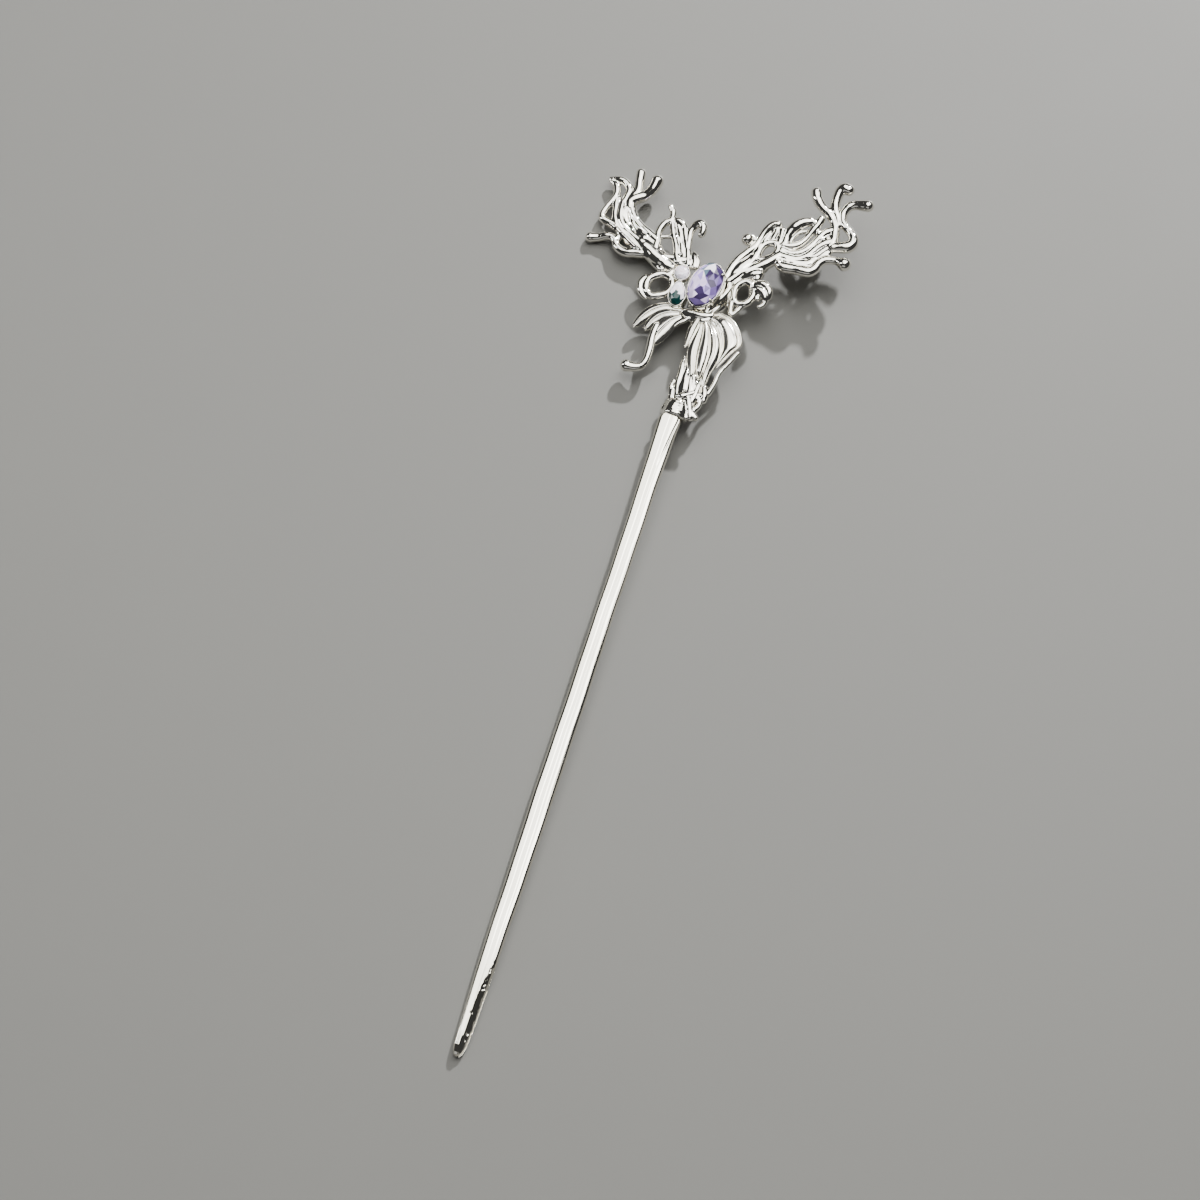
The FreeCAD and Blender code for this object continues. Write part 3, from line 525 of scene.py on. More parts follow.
# ------------------------------------------------------------------------ strand sweep
class StrandTree:
    """Geometry nodes that turn lines with a radius into round, slightly uneven rods."""

    settings = {"Step": 0.00025, "Unevenness": 0.12, "Cells per metre": 420.0, "Seed": 3.0}

    def __init__(self, material: bpy.types.Material) -> None:
        """Build the node group.

        Args:
            material: finish of the rods.
        """
        self.group = bpy.data.node_groups.new("strand_sweep", "GeometryNodeTree")
        face = self.group.interface
        face.new_socket("Geometry", in_out="INPUT", socket_type="NodeSocketGeometry")
        self.sockets = {}
        for label, value in self.settings.items():
            item = face.new_socket(label, in_out="INPUT", socket_type="NodeSocketFloat")
            item.default_value = value
            self.sockets[label] = item.identifier
        face.new_socket("Geometry", in_out="OUTPUT", socket_type="NodeSocketGeometry")
        self._wire(material)

    def _node(self, kind: str, settings: dict | None = None, **inputs: object) -> bpy.types.Node:
        """Make any node.

        Args:
            kind: node type.
            settings: node attributes.
            inputs: sockets to link or values to set.

        Returns:
            The node.
        """
        node = self.group.nodes.new(kind)
        for key, value in (settings or {}).items():
            setattr(node, key, value)
        for key, value in inputs.items():
            feed(self.group, node.inputs[key.replace("_", " ")], value)
        return node

    def _math(self, operation: str, a: object, b: object) -> bpy.types.NodeSocket:
        """Make a math node.

        Args:
            operation: name of the operation.
            a: first input.
            b: second input.

        Returns:
            The result.
        """
        node = self.group.nodes.new("ShaderNodeMath")
        node.operation = operation
        feed(self.group, node.inputs[0], a)
        feed(self.group, node.inputs[1], b)
        return node.outputs[0]

    def _wire(self, material: bpy.types.Material) -> None:
        """Connect the whole tree.

        Args:
            material: finish of the rods.
        """
        links = self.group.links
        source = self.group.nodes.new("NodeGroupInput")
        curve = self._node("GeometryNodeMeshToCurve", None, Mesh=source.outputs["Geometry"])
        wide = self._node("GeometryNodeInputNamedAttribute", {"data_type": "FLOAT"}, Name="radius")
        sized = self._node("GeometryNodeSetCurveRadius", None, Curve=curve.outputs[0],
                           Radius=wide.outputs[0])
        flow = self._node("GeometryNodeCurveSplineType", {"spline_type": "CATMULL_ROM"},
                          Curve=sized.outputs[0])
        even = self._node("GeometryNodeResampleCurve", {"mode": "LENGTH"}, Curve=flow.outputs[0],
                          Length=source.outputs["Step"])
        noise = self._node("ShaderNodeTexNoise", {"noise_dimensions": "4D"},
                           Scale=source.outputs["Cells per metre"], W=source.outputs["Seed"],
                           Detail=1.5)
        swing = self._math("MULTIPLY", self._math("SUBTRACT", noise.outputs[0], 0.5),
                           self._math("MULTIPLY", source.outputs["Unevenness"], 2.0))
        radius = self.group.nodes.new("GeometryNodeInputRadius")
        grown = self._math("MULTIPLY", radius.outputs[0], self._math("ADD", swing, 1.0))
        uneven = self._node("GeometryNodeSetCurveRadius", None, Curve=even.outputs[0], Radius=grown)
        ring = self._node("GeometryNodeCurvePrimitiveCircle", None, Resolution=18, Radius=1.0)
        width = self.group.nodes.new("GeometryNodeInputRadius")
        skin = self._node("GeometryNodeCurveToMesh", None, Curve=uneven.outputs[0],
                          Profile_Curve=ring.outputs[0], Scale=width.outputs[0], Fill_Caps=True)
        tips = self._node("GeometryNodeCurveEndpointSelection", None, Start_Size=1, End_Size=1)
        globe = self._node("GeometryNodeMeshIcoSphere", None, Radius=1.0, Subdivisions=3)
        radius_again = self.group.nodes.new("GeometryNodeInputRadius")
        caps = self._node("GeometryNodeInstanceOnPoints", None, Points=uneven.outputs[0],
                          Selection=tips.outputs[0], Instance=globe.outputs[0],
                          Scale=radius_again.outputs[0])
        both = self.group.nodes.new("GeometryNodeJoinGeometry")
        links.new(skin.outputs[0], both.inputs[0])
        links.new(caps.outputs[0], both.inputs[0])
        real = self._node("GeometryNodeRealizeInstances", None, Geometry=both.outputs[0])
        dressed = self._node("GeometryNodeSetMaterial", None, Geometry=real.outputs[0],
                             Material=material)
        sink = self.group.nodes.new("NodeGroupOutput")
        links.new(dressed.outputs[0], sink.inputs[0])

    def apply(self, obj: bpy.types.Object, seed: float) -> None:
        """Add the tree to an object.

        Args:
            obj: object of lines.
            seed: shifts the unevenness.
        """
        modifier = obj.modifiers.new("rods", "NODES")
        modifier.node_group = self.group
        for label, value in {**self.settings, "Seed": seed}.items():
            modifier[self.sockets[label]] = value


@dataclass
class Casting:
    """A lattice of rods melted into one liquid-looking body."""

    node: str
    strands: Sequence[Path]
    seed: float
    swell: float
    cell: float = 0.11
    melt: int = 5

    def lines(self) -> bpy.types.Object:
        """Lines through the strands, with a radius at each point.

        Returns:
            The line object.
        """
        verts: list[tuple[float, float, float]] = []
        edges: list[tuple[int, int]] = []
        radii: list[float] = []
        for path in self.strands:
            closed = path[0][:2] == path[-1][:2]
            knots = path[:-1] if closed else path
            first = len(verts)
            for knot in knots:
                spot = LAYER.lift(knot[0], knot[1], knot[3] if len(knot) > 3 else 0.0)
                verts.append(tuple(spot * MM))
                radii.append(knot[2] * self.swell * MM)
            edges += [(i, i + 1) for i in range(first, len(verts) - 1)]
            if closed:
                edges.append((len(verts) - 1, first))
        mesh = bpy.data.meshes.new(self.node)
        mesh.from_pydata(verts, edges, [])
        mesh.attributes.new("radius", "FLOAT", "POINT").data.foreach_set("value", radii)
        obj = bpy.data.objects.new(self.node + "_visual", mesh)
        bpy.context.scene.collection.objects.link(obj)
        return obj

    def build(self, tree: StrandTree, material: bpy.types.Material) -> bpy.types.Object:
        """Sweep, melt together and hand in.

        Args:
            tree: the rod-making nodes.
            material: finish.

        Returns:
            The finished piece.
        """
        obj = self.lines()
        tree.apply(obj, self.seed)
        melt_together(obj, self.cell, self.melt)
        obj.data.materials.clear()
        obj.data.materials.append(material)
        return hand_in(obj, Slot.SILVER, self.node)


# Strands of each casting: x, y, radius and, if given, lift above the layer, in mm.
CASTINGS: dict[str, Sequence[Path]] = {
    "left_antler": [
        # beak, outside and inside, and the elbow under it
        [(-25.3, 18.0, 0.40), (-23.6, 18.3, 0.50), (-22.2, 17.8, 0.52), (-21.2, 16.6, 0.55),
         (-21.2, 15.0, 0.60), (-21.6, 13.6, 0.55)],
        [(-25.0, 17.6, 0.40), (-23.9, 16.9, 0.50), (-23.4, 15.6, 0.50), (-23.6, 14.2, 0.45),
         (-24.3, 12.4, 0.45), (-24.7, 10.7, 0.50), (-24.2, 9.7, 0.55), (-22.6, 9.2, 0.55),
         (-21.3, 8.6, 0.60)],
        # two fingers
        [(-20.2, 20.4, 0.64, 0.3), (-19.9, 18.6, 0.64, 0.2), (-19.6, 16.6, 0.62),
         (-20.4, 15.0, 0.65)],
        [(-16.7, 19.4, 0.80, 0.5), (-17.0, 17.8, 0.74, 0.3), (-18.0, 16.2, 0.68),
         (-19.4, 15.3, 0.70), (-20.3, 14.4, 0.70), (-20.1, 13.2, 0.60)],
        # trunk, seen as rods side by side
        [(-20.3, 14.4, 0.60), (-19.3, 12.4, 0.55), (-18.2, 11.0, 0.50), (-16.6, 9.8, 0.50),
         (-14.9, 8.8, 0.60), (-13.2, 7.9, 0.60)],
        [(-23.0, 14.4, 0.40), (-22.6, 12.3, 0.50), (-22.2, 10.8, 0.55), (-21.3, 9.0, 0.60),
         (-19.8, 7.8, 0.65), (-18.3, 6.9, 0.65), (-16.8, 5.9, 0.70), (-15.3, 5.2, 0.70)],
        [(-21.6, 13.8, 0.55), (-21.4, 12.2, 0.60, 0.2), (-21.0, 10.6, 0.62, 0.2),
         (-19.9, 9.0, 0.60, 0.2), (-18.4, 8.0, 0.60), (-16.9, 7.2, 0.65), (-15.3, 6.4, 0.70)],
        [(-20.6, 13.2, 0.50), (-20.4, 11.4, 0.50, 0.2), (-19.4, 9.8, 0.45), (-18.2, 8.4, 0.50)],
        [(-19.3, 11.2, 0.35), (-18.2, 9.8, 0.35), (-17.0, 8.6, 0.45), (-15.4, 7.6, 0.65)],
        # long prong that curls out to the left and rests on the surface
        [(-25.5, 5.7, 0.67, -0.24), (-24.0, 6.1, 0.55, -0.32), (-22.8, 6.5, 0.52),
         (-21.7, 6.6, 0.52), (-20.8, 6.0, 0.55), (-20.2, 5.1, 0.55), (-19.3, 4.4, 0.58),
         (-18.0, 4.1, 0.60), (-16.6, 4.4, 0.62), (-15.2, 4.6, 0.62)],
        [(-20.6, 8.2, 0.50), (-20.4, 7.2, 0.40), (-20.3, 6.2, 0.40)],
        # root, as two rods that reach the middle
        [(-15.7, 6.7, 0.78), (-14.1, 6.1, 0.72), (-12.7, 4.8, 0.68), (-11.2, 4.0, 0.62),
         (-9.8, 3.3, 0.58), (-8.7, 3.1, 0.56)],
        [(-15.3, 5.0, 0.60), (-13.6, 4.3, 0.50), (-12.0, 3.2, 0.45, -0.3),
         (-10.5, 2.4, 0.50, -0.2)],
    ],
    "inner_twig": [
        [(-12.7, 4.9, 0.60), (-12.9, 6.4, 0.65), (-13.0, 7.8, 0.55), (-13.3, 9.4, 0.50),
         (-13.0, 11.0, 0.50), (-12.3, 12.0, 0.50), (-11.5, 12.0, 0.50), (-10.9, 10.8, 0.50),
         (-10.3, 9.4, 0.50), (-9.6, 8.2, 0.50), (-9.0, 6.9, 0.50), (-8.6, 5.6, 0.55),
         (-8.0, 4.5, 0.60)],
        [(-12.9, 8.6, 0.30), (-11.9, 8.9, 0.28), (-10.7, 9.2, 0.30)],
        [(-12.6, 14.9, 0.42, 0.4), (-12.0, 14.2, 0.45, 0.3), (-11.7, 13.2, 0.42, 0.2),
         (-11.8, 12.2, 0.45)],
        [(-11.2, 12.3, 0.45), (-10.4, 12.6, 0.50), (-9.5, 12.2, 0.50), (-8.8, 11.4, 0.45),
         (-8.3, 10.2, 0.42), (-7.7, 8.9, 0.42), (-7.2, 7.6, 0.45)],
        [(-10.1, 9.6, 0.35), (-9.2, 8.9, 0.35), (-8.3, 8.0, 0.38), (-7.6, 6.9, 0.40),
         (-7.2, 5.6, 0.45)],
        # stem that climbs and hooks over
        [(-6.0, 4.4, 0.55), (-6.5, 6.0, 0.50), (-7.0, 7.6, 0.45), (-7.3, 9.2, 0.45),
         (-7.5, 10.8, 0.48), (-7.1, 12.2, 0.55, 0.2), (-6.3, 12.9, 0.60, 0.4),
         (-5.6, 12.4, 0.58, 0.5), (-5.3, 11.4, 0.50, 0.5), (-5.4, 10.7, 0.45, 0.4)],
        [(-12.4, 5.0, 0.60), (-11.0, 4.9, 0.55), (-9.6, 5.0, 0.50), (-8.4, 5.2, 0.45)],
        [(-8.0, 4.5, 0.50), (-7.2, 4.1, 0.45), (-6.2, 3.9, 0.50)],
    ],
    "left_ring": [
        [(-12.0, 0.1, 0.55), (-11.1, 0.9, 0.55), (-10.0, 1.4, 0.55), (-8.8, 1.3, 0.55),
         (-7.9, 0.7, 0.55), (-7.6, -0.4, 0.50), (-7.8, -1.5, 0.50), (-8.5, -2.4, 0.50),
         (-9.5, -2.9, 0.55), (-10.6, -3.3, 0.55), (-11.6, -2.8, 0.58), (-12.2, -1.9, 0.60),
         (-12.3, -0.8, 0.58), (-12.0, 0.1, 0.55)],
        [(-12.8, 0.0, 0.50), (-13.4, -1.0, 0.52), (-13.3, -2.1, 0.50), (-12.8, -3.1, 0.40),
         (-11.7, -3.9, 0.30)],
        [(-8.8, 1.4, 0.50), (-8.4, 2.3, 0.50)],
    ],
    "right_ring": [
        [(4.1, 2.4, 0.50), (4.9, 3.3, 0.55), (5.8, 3.5, 0.55), (6.8, 3.0, 0.55), (7.4, 1.9, 0.55),
         (7.4, 0.7, 0.52), (6.8, -0.5, 0.52), (5.9, -1.0, 0.50), (4.8, -1.0, 0.50),
         (4.1, 0.0, 0.48), (3.9, 1.3, 0.48), (4.1, 2.4, 0.50)],
        [(3.7, 1.4, 0.45), (3.9, 0.0, 0.42), (4.1, -1.6, 0.40), (4.4, -3.2, 0.38)],
        [(5.8, -2.1, 0.30), (4.8, -3.5, 0.30)],
        [(6.2, -1.3, 0.35), (5.4, -2.3, 0.32)],
    ],
    "right_bud": [
        [(7.4, 3.1, 0.60), (8.1, 3.6, 0.62, 0.2), (9.1, 3.5, 0.62, 0.3), (9.9, 2.8, 0.58, 0.3),
         (10.3, 2.0, 0.50, 0.2), (10.4, 1.4, 0.38)],
        [(7.9, 2.4, 0.62, 0.2), (8.9, 2.2, 0.62, 0.3), (9.6, 1.4, 0.55, 0.2), (9.9, 0.5, 0.42),
         (9.7, -0.3, 0.34), (9.2, -0.7, 0.34)],
        [(7.7, 2.0, 0.60), (8.3, 1.5, 0.52), (8.5, 0.7, 0.40)],
    ],
    "right_antler": [
        # outside rod of the trunk, up to the rounded upper lobe
        [(1.6, 3.6, 0.60), (1.9, 5.0, 0.60), (2.3, 6.4, 0.65), (3.1, 8.0, 0.65), (4.1, 9.5, 0.60),
         (5.0, 10.9, 0.55), (5.5, 12.6, 0.50), (5.9, 14.2, 0.50, 0.3), (6.8, 15.5, 0.55, 0.5),
         (7.8, 15.9, 0.55, 0.6)],
        [(9.0, 15.0, 0.50, 0.5), (9.1, 13.8, 0.48, 0.3), (9.1, 12.5, 0.50)],
        [(7.8, 15.8, 0.50, 0.5), (8.0, 14.4, 0.42, 0.3), (7.6, 12.6, 0.42)],
        [(7.0, 15.0, 0.40, 0.3), (6.7, 13.4, 0.40), (6.4, 12.0, 0.45)],
        # little ball on a curl
        [(3.2, 11.8, 0.80, 0.3), (3.8, 12.5, 0.42, 0.3), (4.4, 12.3, 0.38, 0.2),
         (5.1, 11.6, 0.40)],
        # eyelet beside the trunk
        [(5.9, 9.6, 0.55), (6.1, 10.8, 0.50), (6.6, 11.7, 0.48), (7.4, 12.2, 0.48),
         (8.4, 12.3, 0.50), (9.1, 11.6, 0.50), (9.2, 10.6, 0.50), (8.7, 9.7, 0.50),
         (7.8, 8.9, 0.52), (6.8, 8.4, 0.52), (6.0, 8.6, 0.52), (5.9, 9.6, 0.55)],
        # rods from the middle to the eyelet
        [(2.3, 2.9, 0.60), (3.3, 4.2, 0.65), (4.2, 5.5, 0.70), (5.0, 7.0, 0.65), (5.6, 8.6, 0.60),
         (5.6, 10.0, 0.50), (5.9, 11.2, 0.50)],
        [(3.4, 2.6, 0.40), (4.3, 3.8, 0.45), (5.3, 4.6, 0.60), (6.2, 5.2, 0.75),
         (7.2, 5.6, 0.75)],
        [(4.0, 5.0, 0.60), (5.4, 5.9, 0.70), (6.8, 7.0, 0.75), (8.0, 8.0, 0.75), (9.0, 9.1, 0.70),
         (9.9, 10.1, 0.65)],
        [(7.2, 5.6, 0.60), (7.6, 7.0, 0.50), (8.4, 8.2, 0.50)],
        [(7.2, 5.6, 0.60), (7.2, 4.6, 0.60)],
        # lower edge that runs out to the prong with a ball
        [(9.6, 9.9, 0.60), (10.0, 8.9, 0.60), (10.6, 8.1, 0.65), (11.9, 8.0, 0.65),
         (13.3, 8.1, 0.65), (14.7, 8.1, 0.68), (15.9, 8.2, 0.70), (16.8, 9.0, 0.65),
         (17.2, 10.1, 0.60), (17.9, 11.0, 0.58), (18.9, 11.4, 0.55), (20.2, 11.5, 0.50),
         (21.8, 11.2, 0.88)],
        [(18.3, 11.3, 0.35), (18.2, 12.4, 0.35), (18.3, 13.6, 0.40)],
        # arch on the upper side
        [(9.4, 11.9, 0.50), (10.1, 12.8, 0.60), (10.1, 14.1, 0.68), (10.5, 15.4, 0.72, 0.2),
         (11.2, 16.5, 0.74, 0.4), (12.1, 17.3, 0.70, 0.5), (13.2, 17.8, 0.60, 0.5),
         (14.1, 17.9, 0.42, 0.5)],
        [(10.9, 12.8, 0.26), (11.3, 14.4, 0.26), (12.3, 15.6, 0.26), (13.8, 16.1, 0.30)],
        # rods of the outer trunk
        [(15.2, 18.8, 0.52, 0.4), (14.9, 17.6, 0.52, 0.3), (14.3, 16.2, 0.48, 0.2),
         (13.6, 14.5, 0.45), (12.6, 13.1, 0.48), (11.2, 12.4, 0.55), (9.9, 12.2, 0.55)],
        [(10.0, 11.3, 0.55), (11.6, 11.0, 0.50), (13.1, 11.4, 0.50), (14.3, 12.4, 0.50),
         (15.2, 13.8, 0.50), (16.0, 15.4, 0.55), (16.8, 16.6, 0.55), (17.8, 17.2, 0.55)],
        [(10.2, 10.0, 0.60), (11.6, 10.0, 0.55), (13.0, 10.1, 0.50), (14.3, 10.8, 0.45),
         (15.4, 12.0, 0.50), (16.3, 13.4, 0.55), (17.4, 14.4, 0.60), (18.5, 15.0, 0.60)],
        [(14.2, 11.0, 0.40), (15.4, 11.1, 0.42), (16.4, 11.6, 0.48), (17.3, 12.7, 0.50),
         (18.2, 13.8, 0.55)],
        [(10.6, 9.3, 0.50), (12.4, 9.2, 0.50), (14.0, 9.2, 0.40), (14.6, 8.6, 0.45)],
        [(16.4, 11.6, 0.40), (16.4, 10.3, 0.36), (16.5, 9.2, 0.40)],
        [(14.9, 17.2, 0.45), (15.6, 16.0, 0.50), (16.6, 15.0, 0.50), (17.9, 14.6, 0.55)],
        # fingers
        [(12.8, 23.9, 0.70, 0.5), (13.2, 22.9, 0.72, 0.5), (14.0, 21.9, 0.68, 0.4),
         (15.0, 21.1, 0.62, 0.3), (16.3, 20.3, 0.60, 0.2), (17.4, 19.2, 0.58), (18.1, 18.0, 0.58),
         (18.4, 16.6, 0.58), (18.6, 15.2, 0.60), (18.3, 13.9, 0.60)],
        [(18.4, 25.7, 0.74, 0.6), (17.6, 25.8, 0.76, 0.6), (17.0, 25.2, 0.74, 0.5),
         (16.8, 24.1, 0.66, 0.4), (16.8, 22.6, 0.64, 0.3), (17.2, 21.2, 0.62, 0.2),
         (18.0, 20.0, 0.58), (18.6, 18.6, 0.55)],
        [(22.7, 23.4, 0.80, 0.5), (21.6, 23.3, 0.70, 0.4), (20.3, 23.1, 0.60, 0.3),
         (19.3, 22.4, 0.60, 0.2), (18.8, 21.1, 0.56), (19.0, 19.9, 0.54), (19.8, 18.7, 0.54),
         (20.9, 17.8, 0.56), (21.8, 16.9, 0.62), (22.1, 15.7, 0.72), (21.5, 14.7, 0.76),
         (20.2, 14.3, 0.72), (18.8, 13.9, 0.66)],
    ],
    "left_tendril": [
        [(-7.9, -8.9, 0.55), (-8.0, -10.2, 0.58), (-8.0, -11.6, 0.58), (-7.8, -13.2, 0.56),
         (-7.7, -14.8, 0.54), (-7.8, -16.2, 0.52), (-8.3, -17.2, 0.50), (-9.3, -17.7, 0.58),
         (-10.4, -17.8, 0.72), (-11.0, -17.8, 0.80)],
    ],
    "stem_bundle": [
        [(-1.1, -13.5, 0.16), (-0.9, -15.2, 0.46), (-0.7, -17.0, 0.56), (-0.6, -19.0, 0.58),
         (-0.3, -20.6, 0.55), (0.0, -22.2, 0.58), (0.1, -23.4, 0.60)],
        [(-0.1, -14.9, 0.18), (0.4, -17.2, 0.62), (0.8, -19.6, 0.74), (1.0, -21.6, 0.75)],
        [(1.1, -15.9, 0.20), (1.5, -18.0, 0.62), (2.0, -20.2, 0.72), (2.0, -22.0, 0.75)],
        [(3.4, -16.4, 0.16), (3.1, -18.8, 0.54), (3.0, -20.6, 0.62), (2.6, -22.4, 0.65)],
    ],
    "neck_collar": [
        # outer strand with a nub, and the feet
        [(-1.5, -18.8, 0.40), (-1.7, -19.8, 0.36), (-1.4, -21.0, 0.36), (-1.2, -22.3, 0.38),
         (-1.4, -23.3, 0.38), (-1.7, -24.3, 0.42)],
        [(-1.6, -24.7, 0.42), (-0.6, -24.6, 0.52), (0.3, -24.2, 0.62), (0.2, -23.6, 0.62)],
        [(1.9, -22.0, 0.55), (2.3, -23.0, 0.62), (3.0, -23.8, 0.62), (3.4, -24.8, 0.55)],
        [(3.0, -23.4, 0.50), (3.7, -24.2, 0.50), (4.4, -24.7, 0.40)],
        [(1.1, -22.4, 0.30, 0.5), (1.9, -24.0, 0.30, 0.5), (2.7, -25.2, 0.32, 0.3)],
        [(0.2, -21.6, 0.42, 0.6), (1.0, -21.4, 0.46, 0.7), (1.9, -20.8, 0.36, 0.6),
         (2.7, -20.2, 0.32, 0.5)],
        [(0.8, -20.2, 0.32, 0.5), (1.6, -21.0, 0.34, 0.6), (2.4, -22.0, 0.34, 0.5)],
        # loop on the right
        [(2.7, -21.8, 0.36, 0.2), (3.2, -21.0, 0.34, 0.2), (3.9, -21.2, 0.34, 0.1),
         (4.3, -22.2, 0.36), (3.8, -23.2, 0.40)],
        [(4.3, -18.8, 0.48), (4.7, -20.0, 0.50), (4.8, -21.1, 0.42)],
        [(4.7, -20.2, 0.42), (3.6, -20.4, 0.46), (2.8, -20.9, 0.46)],
    ],
    "right_strand": [
        [(8.1, -10.6, 0.34), (7.5, -12.0, 0.34), (6.9, -13.3, 0.34), (6.3, -14.5, 0.34),
         (5.9, -15.8, 0.34), (5.8, -17.0, 0.34), (5.6, -18.2, 0.36), (5.2, -19.6, 0.40)],
    ],
    "centre_boss": [
        [(-3.9, -4.9, 0.50), (-2.4, -5.0, 0.62), (-0.9, -5.0, 0.70), (0.4, -4.8, 0.60),
         (1.3, -4.5, 0.45)],
        [(-2.4, -5.4, 0.34), (-3.2, -6.6, 0.32), (-4.1, -7.3, 0.30), (-4.8, -8.2, 0.26)],
        [(-1.0, -5.0, 0.60, -0.6), (-1.0, -3.4, 0.90, -1.2), (-1.2, -1.6, 1.10, -1.4)],
        # rod that hugs the violet stone on its right
        [(2.9, 1.6, 0.50), (2.4, 0.2, 0.55), (1.7, -1.1, 0.55), (1.0, -2.3, 0.52),
         (0.4, -3.2, 0.60), (0.0, -4.4, 0.50)],
        [(2.9, 1.6, 0.50), (2.5, 2.6, 0.50)],
        [(3.0, 0.2, 0.35, -0.5), (2.4, -1.4, 0.35, -0.5), (1.7, -2.9, 0.35, -0.3),
         (1.0, -4.2, 0.40)],
    ],
}

# Broad low runs of metal that close the gaps between the strands, in the same terms.
FILLS: dict[str, Sequence[Path]] = {
    "left_antler": [
        [(-21.3, 13.6, 0.50, -0.3), (-21.9, 11.6, 0.55, -0.4), (-21.4, 9.6, 0.60, -0.4),
         (-19.7, 8.4, 0.60, -0.4), (-18.2, 6.7, 0.75, -0.4), (-16.3, 6.5, 1.0, -0.5),
         (-14.2, 5.8, 1.15, -0.5), (-12.2, 4.6, 1.15, -0.5), (-10.4, 3.9, 1.0, -0.5),
         (-8.8, 3.3, 0.85, -0.5)],
        [(-18.6, 12.2, 0.35, -0.3), (-17.6, 10.2, 0.45, -0.3), (-16.0, 8.6, 0.70, -0.4),
         (-14.2, 7.2, 0.80, -0.4), (-12.6, 6.0, 0.80, -0.4)],
        [(-23.9, 16.0, 0.35, -0.1), (-22.8, 14.6, 0.45, -0.2), (-22.4, 12.6, 0.35, -0.3)],
        [(-20.6, 15.4, 0.60, -0.2), (-20.9, 13.6, 0.60, -0.3)],
    ],
    "inner_twig": [
        [(-5.7, 7.0, 0.16, 0.2), (-5.3, 6.2, 0.30, 0.2), (-4.9, 5.2, 0.42, 0.1),
         (-4.8, 4.2, 0.45)],
        [(-5.7, 7.0, 0.14, 0.2), (-5.65, 6.1, 0.28, 0.15), (-5.4, 5.1, 0.36), (-5.35, 4.2, 0.38)],
        [(-5.7, 7.0, 0.14, 0.2), (-4.95, 6.35, 0.26, 0.15), (-4.4, 5.4, 0.36),
         (-4.25, 4.3, 0.38)],
        [(-12.7, 7.2, 0.50, -0.3), (-11.7, 5.5, 0.70, -0.4), (-10.0, 4.9, 0.70, -0.4),
         (-8.2, 4.9, 0.80, -0.4), (-6.5, 5.1, 0.80, -0.4), (-5.2, 4.7, 0.70, -0.4)],
        [(-10.4, 12.0, 0.45, -0.2), (-9.3, 10.4, 0.55, -0.3), (-8.6, 8.6, 0.55, -0.3),
         (-7.7, 6.6, 0.65, -0.3)],
    ],
    "right_antler": [
        [(2.6, 3.8, 0.9, -0.5), (3.6, 5.6, 1.1, -0.5), (4.8, 7.4, 1.0, -0.5),
         (5.4, 9.4, 0.6, -0.4)],
        [(9.9, 10.6, 0.80, -0.4), (11.8, 9.6, 0.80, -0.4), (13.6, 9.3, 0.80, -0.4),
         (15.4, 9.8, 0.70, -0.4), (16.8, 11.4, 0.55, -0.3), (18.2, 12.6, 0.60, -0.3)],
        [(6.4, 14.2, 0.45, -0.1), (7.6, 13.4, 0.55, -0.2), (8.6, 13.6, 0.45, -0.1)],
        [(16.2, 15.2, 0.45, -0.3), (17.6, 15.6, 0.55, -0.3), (18.8, 16.6, 0.45, -0.2)],
        [(4.6, 4.8, 0.60, -0.4), (6.0, 6.0, 0.80, -0.4), (7.4, 7.2, 0.80, -0.4)],
    ],
    "right_ring": [
        [(3.0, 1.6, 0.60, -0.4), (3.4, 0.0, 0.60, -0.4), (3.6, -1.6, 0.50, -0.4)],
        [(7.0, 2.8, 0.60, -0.2), (7.4, 1.0, 0.55, -0.2)],
    ],
    "right_bud": [
        [(7.6, 2.6, 0.80, -0.2), (8.8, 2.8, 0.80, -0.2), (9.6, 1.8, 0.60, -0.2)],
    ],
    "left_ring": [
        [(-12.6, 0.3, 0.45, -0.2), (-12.9, -1.2, 0.50, -0.2), (-12.6, -2.6, 0.45, -0.2)],
    ],
    "stem_bundle": [
        [(-0.4, -17.0, 0.60, -0.4), (0.2, -19.0, 0.90, -0.4), (0.7, -21.0, 1.0, -0.4),
         (0.8, -23.0, 1.1, -0.4)],
        [(1.8, -17.0, 0.70, -0.4), (2.3, -19.0, 0.90, -0.4), (2.4, -21.0, 0.90, -0.4)],
    ],
    "neck_collar": [
        [(-1.2, -20.4, 0.45, -0.1), (-0.9, -22.4, 0.60, -0.1), (-0.9, -24.4, 0.60, -0.2)],
        [(2.0, -21.2, 0.55, 0.2), (2.6, -22.8, 0.60, 0.2), (3.4, -24.5, 0.50, 0.0)],
        [(0.4, -22.4, 0.60, 0.3), (0.6, -24.4, 0.55, 0.3)],
    ],
    "centre_boss": [
        [(-3.2, -4.6, 0.55, -0.5), (-1.2, -4.4, 0.75, -0.5), (0.8, -4.2, 0.60, -0.4)],
        [(-3.6, -5.4, 0.45, -0.2), (-1.8, -6.0, 0.50, -0.3), (0.0, -5.8, 0.55, -0.2),
         (1.0, -5.4, 0.40)],
    ],
}


# How much fuller than its listed radii each casting is after polishing.
USUAL_SWELL = 1.35
SWELLS: dict[str, float] = {"left_antler": 1.50, "right_antler": 1.48, "inner_twig": 1.42,
                            "left_tendril": 1.45, "left_ring": 1.40, "neck_collar": 1.45}


# Collar bands: place along the pin, half width, half height and radius, in mm.
COLLAR_BANDS = ((-25.0, 1.85, 1.30, 0.46), (-24.5, 1.55, 1.15, 0.62), (-24.0, 1.42, 1.08, 0.66),
                (-23.5, 1.35, 1.02, 0.66), (-23.0, 1.30, 1.00, 0.60))
COLLAR_CENTRE = (0.6, 4.35)
COLLAR_CORNERS = 16


